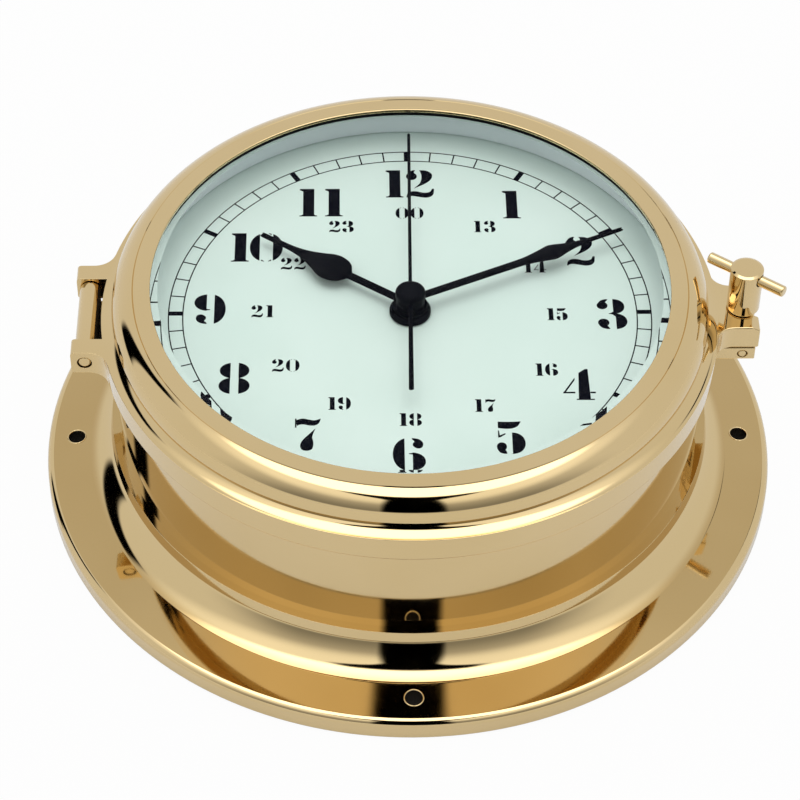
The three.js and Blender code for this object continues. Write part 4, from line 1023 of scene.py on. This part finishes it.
def make_hand(name, half_outline, blade_low, blade_high, hub, turn):
    """A blade with its hub. Half outlines give the half width at each distance from the centre."""
    right = half_outline
    left = [(-x, y) for x, y in reversed(half_outline)]
    blade = plate("blade", right + left, blade_low, blade_high, HAND_LACQUER, crease=50)
    eased(blade, BLADE_EDGE, 2, crease=50)
    hand = joined(name, blade, turned("hub", hub, HAND_LACQUER, SMALL_SIDES))
    hand.data.transform(Matrix.Rotation(-radians(turn), 4, "Z"))
    return hand


def half_flowing(knots, steps=8):
    """A smooth open edge through its knots."""
    path = []
    ends = [Vector(knot) for knot in (knots[0], *knots, knots[-1])]
    for a, b, c, d in zip(ends, ends[1:], ends[2:], ends[3:]):
        path += span(b, c, (c - a) / 2, (d - b) / 2, steps)
    return path + [tuple(knots[-1])]


HOUR_EDGE = [(1.2, 3.0), (1.2, 20.3)] + half_flowing([
    (1.3, 20.5), (2.2, 21.1), (3.5, 22.1), (4.5, 23.7), (5.0, 26.0), (4.95, 27.3), (4.5, 29.0),
    (3.5, 31.1), (2.4, 33.8), (1.55, 36.6), (1.0, 40.0), (0.85, 44.0), (0.75, 50.2), (0.3, 50.6)])
MINUTE_EDGE = [(1.15, 3.0), (1.2, 33.5)] + half_flowing([
    (1.25, 35.5), (1.55, 38.0), (2.15, 41.3), (2.75, 44.2), (2.6, 45.8), (1.95, 48.1),
    (1.35, 50.4), (0.95, 52.8), (0.7, 57.0), (0.55, 66.4), (0.25, 67.0)])
SECONDS_EDGE = [(0.35, -36.5), (0.7, -36.2), (0.6, -10.0), (0.5, 4.0), (0.44, 67.5), (0.2, 67.9)]

fitted(make_hand("hour_hand_pear", HOUR_EDGE, HOUR_LOW + 0.5, HOUR_LOW + 1.0, [
    (HOUR_BORE, HOUR_LOW, 0.1), (HUB + 0.9, HOUR_LOW, 0.25), (HUB + 0.9, HOUR_LOW + 0.7, 0.3),
    (HUB, HOUR_LOW + 0.9, 0.2), (HUB, HOUR_LOW + HUB_HEIGHT, 0.25),
    (HOUR_BORE, HOUR_LOW + HUB_HEIGHT, 0.1)], HOUR_TURN), "hour", "black_lacquer", "hour_hand")
fitted(make_hand("minute_hand_leaf", MINUTE_EDGE, MINUTE_LOW + 0.5, MINUTE_LOW + 1.0, [
    (MINUTE_BORE, MINUTE_LOW, 0.1), (HUB, MINUTE_LOW, 0.25), (HUB, MINUTE_LOW + HUB_HEIGHT, 0.3),
    (MINUTE_BORE, MINUTE_LOW + HUB_HEIGHT, 0.1)],
    MINUTE_TURN), "minute", "black_lacquer", "minute_hand")
fitted(make_hand("seconds_hand_needle", SECONDS_EDGE, SECONDS_LOW + 0.4, SECONDS_LOW + 0.8, [
    (0, SECONDS_LOW), (HUB + 0.2, SECONDS_LOW, 0.2),
    (HUB + 0.2, SECONDS_LOW + CAP_HEIGHT, 1.0), (0, SECONDS_LOW + CAP_HEIGHT)],
    SECONDS_TURN), "seconds", "black_lacquer", "seconds_hand")
fitted(turned("fixing_nut_round", [
    (DIAL_HOLE, FIXING_LOW, 0.1), (FIXING_RADIUS, FIXING_LOW, 0.2),
    (FIXING_RADIUS, FIXING_TOP - 0.8, 0.3), (FIXING_RADIUS - 0.6, FIXING_TOP, 0.3),
    (DIAL_HOLE, FIXING_TOP, 0.15)],
    HAND_LACQUER, SMALL_SIDES), "case", "black_lacquer", "fixing_nut")
fitted(plain_ring("dial_washer_round", *DIAL_WASHER, SEAL_RUBBER, SMALL_SIDES),
       "case", "black_rubber", "dial_washer")


# Movement, seen through the open back

def corners_of(node):
    """Lowest and highest corner of a solid, in millimetres."""
    low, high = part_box(node)
    return low / MM, high / MM


def round_box(x0, x1, y0, y1, radius):
    return rounded([(*corner, radius) for corner in bar(x0, y0, x1, y1)])


HOUSING_WALL = 1.5
PARTITION = 1.1
BUSH = 4.0
BUSH_BORE = 3.1
BUSH_TOP = 58.5
BUSH_THREAD = 0.3
HOUSING_FRONT = 53.9
# On the rear cover: radii of the rim round the knob, and where the ribs lie and end
KNOB_RIM = (5.4, 6.4)
RIB_PLACES = (5, 8, 11)
RIB_ENDS = (-14, 22)


def make_housing():
    """Moulded box: gear bay above, open battery bay below, threaded bush in front."""
    low, high = corners_of("movement_housing")
    cover_low, _ = corners_of("movement_cover")
    front = HOUSING_FRONT
    bay_top = cover_low.y
    box = plate("housing_moulded", round_box(low.x, high.x, low.y, high.y, 3), low.z, front,
                MOVEMENT_ABS)
    inner = front - HOUSING_WALL
    x0, x1 = low.x + HOUSING_WALL, high.x - HOUSING_WALL
    battery_bay = (low.y + HOUSING_WALL, bay_top)
    gear_bay = (bay_top + PARTITION, high.y - HOUSING_WALL)
    for bay in (battery_bay, gear_bay):
        worked(box, plate("bay", round_box(x0, x1, *bay, 2), low.z - 1, inner, MOVEMENT_ABS))
    eased(box, 0.3)
    thread = rolled_thread(BUSH, BUSH_THREAD, front + 0.4, BUSH_TOP - 0.9)
    bush = turned("bush", [
        (BUSH_BORE, front - 0.4), (BUSH, front - 0.4), *thread, (BUSH, BUSH_TOP, 0.25),
        (BUSH_BORE, BUSH_TOP, 0.15)], MOVEMENT_ABS, SMALL_SIDES)
    bore = turned("bore", [
        (0, inner - 2), (BUSH_BORE, inner - 2), (BUSH_BORE, BUSH_TOP + 1.5), (0, BUSH_TOP + 1.5)],
        MOVEMENT_ABS, SMALL_SIDES)
    worked(box, bore)
    return joined("housing_moulded_box", box, bush)


def make_cover():
    """Rear plate with a raised rim round the setting knob, and ribs."""
    low, high = corners_of("movement_cover")
    knob_low, knob_high = corners_of("setting_knob")
    knob = ((knob_low.x + knob_high.x) / 2, (knob_low.y + knob_high.y) / 2)
    sheet = plate("cover", round_box(low.x, high.x, low.y, high.y, 3), low.z, high.z, MOVEMENT_ABS)
    hole = turned("hole", [(0, low.z - 2), (1.5, low.z - 2), (1.5, high.z + 2), (0, high.z + 2)],
                  MOVEMENT_ABS, 32, knob)
    eased(worked(sheet, hole), 0.25)
    inner, outer = KNOB_RIM
    rim = turned("rim", [
        (inner, low.z - 0.7, 0.2), (outer, low.z - 0.7, 0.2), (outer, low.z + 0.3),
        (inner, low.z + 0.3)], MOVEMENT_ABS, SMALL_SIDES, knob)
    ribs = []
    for up in RIB_PLACES:
        y = low.y + up
        rib = plate("rib", round_box(*RIB_ENDS, y - 0.5, y + 0.5, 0.45), low.z - 0.5, low.z + 0.3,
                    MOVEMENT_ABS)
        ribs.append(eased(rib, 0.15))
    return joined("cover_moulded", sheet, rim, *ribs)


def make_cell():
    """Dry cell that lies along x: crimped ends, a film jacket and the raised positive cap."""
    low, high = corners_of("battery")
    middle = (low + high) / 2
    half = (high.x - low.x) / 2
    radius = (high.z - low.z) / 2
    cell = turned("dry_cell", [
        (0, -half), (radius - 1.6, -half, 0.2), (radius - 1.2, -half + 0.3, 0.2),
        (radius, -half + 0.3, 0.5), (radius, half - 1.5, 0.5), (radius - 1.0, half - 1.5, 0.2),
        (radius - 1.4, half - 1.9, 0.2), (2.7, half - 1.9, 0.2), (2.7, half, 0.35), (0, half),
    ], CELL_FILM, SMALL_SIDES)
    lie = Matrix.Rotation(radians(90), 4, "Y")
    cell.data.transform(Matrix.Translation(middle * MM) @ lie)
    return cell


fitted(make_housing(), "case", "black_plastic", "movement_housing")
fitted(make_cover(), "case", "black_plastic", "movement_cover")
fitted(make_cell(), "case", "cell_jacket", "battery")

CARRIED_OVER = {
    GEAR_BRASS: ("seconds_wheel", "centre_wheel", "minute_pipe"),
    WHEEL_ACETAL: ("intermediate_wheel", "third_wheel", "motion_wheel", "hour_wheel"),
    PLATED_STEEL: ("contact_positive", "contact_negative", "stator", "coil_core", "quartz_crystal"),
    MOVEMENT_ABS: ("setting_knob", "driver_chip"),
    MAGNET_FERRITE: ("rotor",),
    COIL_WIRE: ("drive_coil",),
    BOARD_LAMINATE: ("circuit_board",),
}
for finish, names in CARRIED_OVER.items():
    for name in names:
        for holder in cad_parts[name].material_slots:
            holder.material = finish


# Floor and light

FLOOR_HALF = 8.0
FLOOR_DROP = 0.2
PAPER_SEEN = 0.96
PAPER_MIRRORED = 0.33
STUDIO = 0.78
# Soft lamps overhead: where each points, the cosines between which it fades in, its strength
LAMPS = (((0.0, 0.08, 0.9968), (0.891, 0.934), 1.4), ((0.0, -0.2, 0.98), (0.669, 0.883), 0.45))
# Dark cards round the room, in degrees: bearing from the front, lean, half width where it starts
# and is full, heights where its foot and its head start and are full
CARDS = {
    "slot": (0.8, 0.0, (14, 9.5), (4, 9), (73, 68)),
    "shade": (0.8, 0.0, (75, 35), (4, 9), (73, 68)),
    "tall_flag": (-116.5, 0.25, (8, 4.8), (4, 8), (54, 50)),
    "small_flag": (150, 0.0, (4, 2.4), (42, 46), (52, 48)),
}
# Heights between which the slot flares and the shade grows weaker, and how far
SLOT_FLARE = (54, 67, 1.0, 0.3)
SHADE_DEPTH = (5, 62, 0.66, 0.04)


def paper_floor():
    """Matt white paper roll. The camera, glass and metal see it white, with the clock's shadow.
    From below it is not there, so that the clock's back can be seen."""
    material = dressed("matt_white_paper", ("#D6D6D4", "#D2D2D0"), 300, Roughness=0.9)
    tree = material.node_tree
    seen = add(tree, "Math", {0: either(tree, "Camera", "Transmission"), 1: PAPER_SEEN},
               operation="MULTIPLY")
    glossy = add(tree, "LightPath", {}).outputs["Is Glossy Ray"]
    mirrored = add(tree, "Math", {0: glossy, 1: PAPER_MIRRORED}, operation="MULTIPLY")
    share = add(tree, "Math", {0: seen, 1: mirrored}, operation="MAXIMUM")
    white = add(tree, "Emission", {"Strength": 1.0})
    front = add(tree, "MixShader", {0: share, 1: found(tree, "BsdfPrincipled"), 2: white})
    behind = add(tree, "NewGeometry", {}).outputs["Backfacing"]
    nothing = add(tree, "BsdfTransparent", {})
    show(tree, add(tree, "MixShader", {0: behind, 1: front, 2: nothing}))
    return material


def lay_floor():
    mesh = bpy.data.meshes.new("floor")
    corners = [(x, y, -FLOOR_DROP * MM) for x, y in bar(
        -FLOOR_HALF, -FLOOR_HALF, FLOOR_HALF, FLOOR_HALF)]
    mesh.from_pydata(corners, [], [(0, 1, 2, 3)])
    placed("floor", mesh, paper_floor())


def light_studio():
    """A white room with soft lamps overhead, a dark slot in front and dark flags behind."""
    world = bpy.data.worlds.new("studio")
    bpy.context.scene.world = world
    world.use_nodes = True
    tree = world.node_tree
    tree.nodes.clear()
    towards = add(tree, "TexCoord", {}).outputs["Generated"]
    x, y, z = add(tree, "SeparateXYZ", {0: towards}).outputs
    level = STUDIO
    for place, (start, end), strength in LAMPS:
        facing = add(tree, "VectorMath", {0: towards, 1: Vector(place)}, operation="DOT_PRODUCT")
        lamp = add(tree, "MapRange", {
            "Value": facing.outputs["Value"], "From Min": start, "From Max": end,
            "To Max": strength}, interpolation_type="SMOOTHSTEP")
        level = add(tree, "Math", {0: level, 1: lamp}, operation="ADD")

    front = add(tree, "Math", {0: y, 1: -1.0}, operation="MULTIPLY")
    bearing = add(tree, "Math", {0: x, 1: front}, operation="ARCTAN2")
    raised = add(tree, "Math", {0: z}, operation="ARCSINE")
    start, end, low, high = SLOT_FLARE
    flare = add(tree, "MapRange", {
        "Value": raised, "From Min": radians(start), "From Max": radians(end),
        "To Min": low, "To Max": high}, interpolation_type="SMOOTHSTEP")
    dark = 0.0
    for name, (turn, lean, edge, foot, head) in CARDS.items():
        leaning = add(tree, "Math", {0: raised, 1: lean, 2: bearing}, operation="MULTIPLY_ADD")
        aside = add(tree, "Math", {0: leaning, 1: radians(turn)}, operation="SUBTRACT")
        aside = add(tree, "Math", {0: aside}, operation="ABSOLUTE")
        if name == "slot":
            aside = add(tree, "Math", {0: aside, 1: flare}, operation="MULTIPLY")
        fades = [(aside, *edge, 0.0, 1.0), (raised, *foot, 0.0, 1.0), (raised, *head, 0.0, 1.0)]
        if name == "shade":
            fades.append((raised, *SHADE_DEPTH))
        card = 1.0
        for number, start, end, low, high in fades:
            fade = add(tree, "MapRange", {
                "Value": number, "From Min": radians(start), "From Max": radians(end),
                "To Min": low, "To Max": high}, interpolation_type="SMOOTHSTEP")
            card = add(tree, "Math", {0: card, 1: fade}, operation="MULTIPLY")
        dark = add(tree, "Math", {0: dark, 1: card}, operation="MAXIMUM")
    lit = add(tree, "Math", {0: 1.0, 1: dark}, operation="SUBTRACT")
    level = add(tree, "Math", {0: level, 1: lit}, operation="MULTIPLY")

    room = add(tree, "Background", {"Color": linear("#FFFFFF"), "Strength": level})
    white = add(tree, "Background", {"Color": linear("#FFFFFF"), "Strength": 1.0})
    seen = either(tree, "Camera", "Transmission")
    mixed = add(tree, "MixShader", {0: seen, 1: room, 2: white})
    add(tree, "OutputWorld", {"Surface": mixed})


lay_floor()
light_studio()
bpy.context.scene.view_settings.view_transform = "Standard"
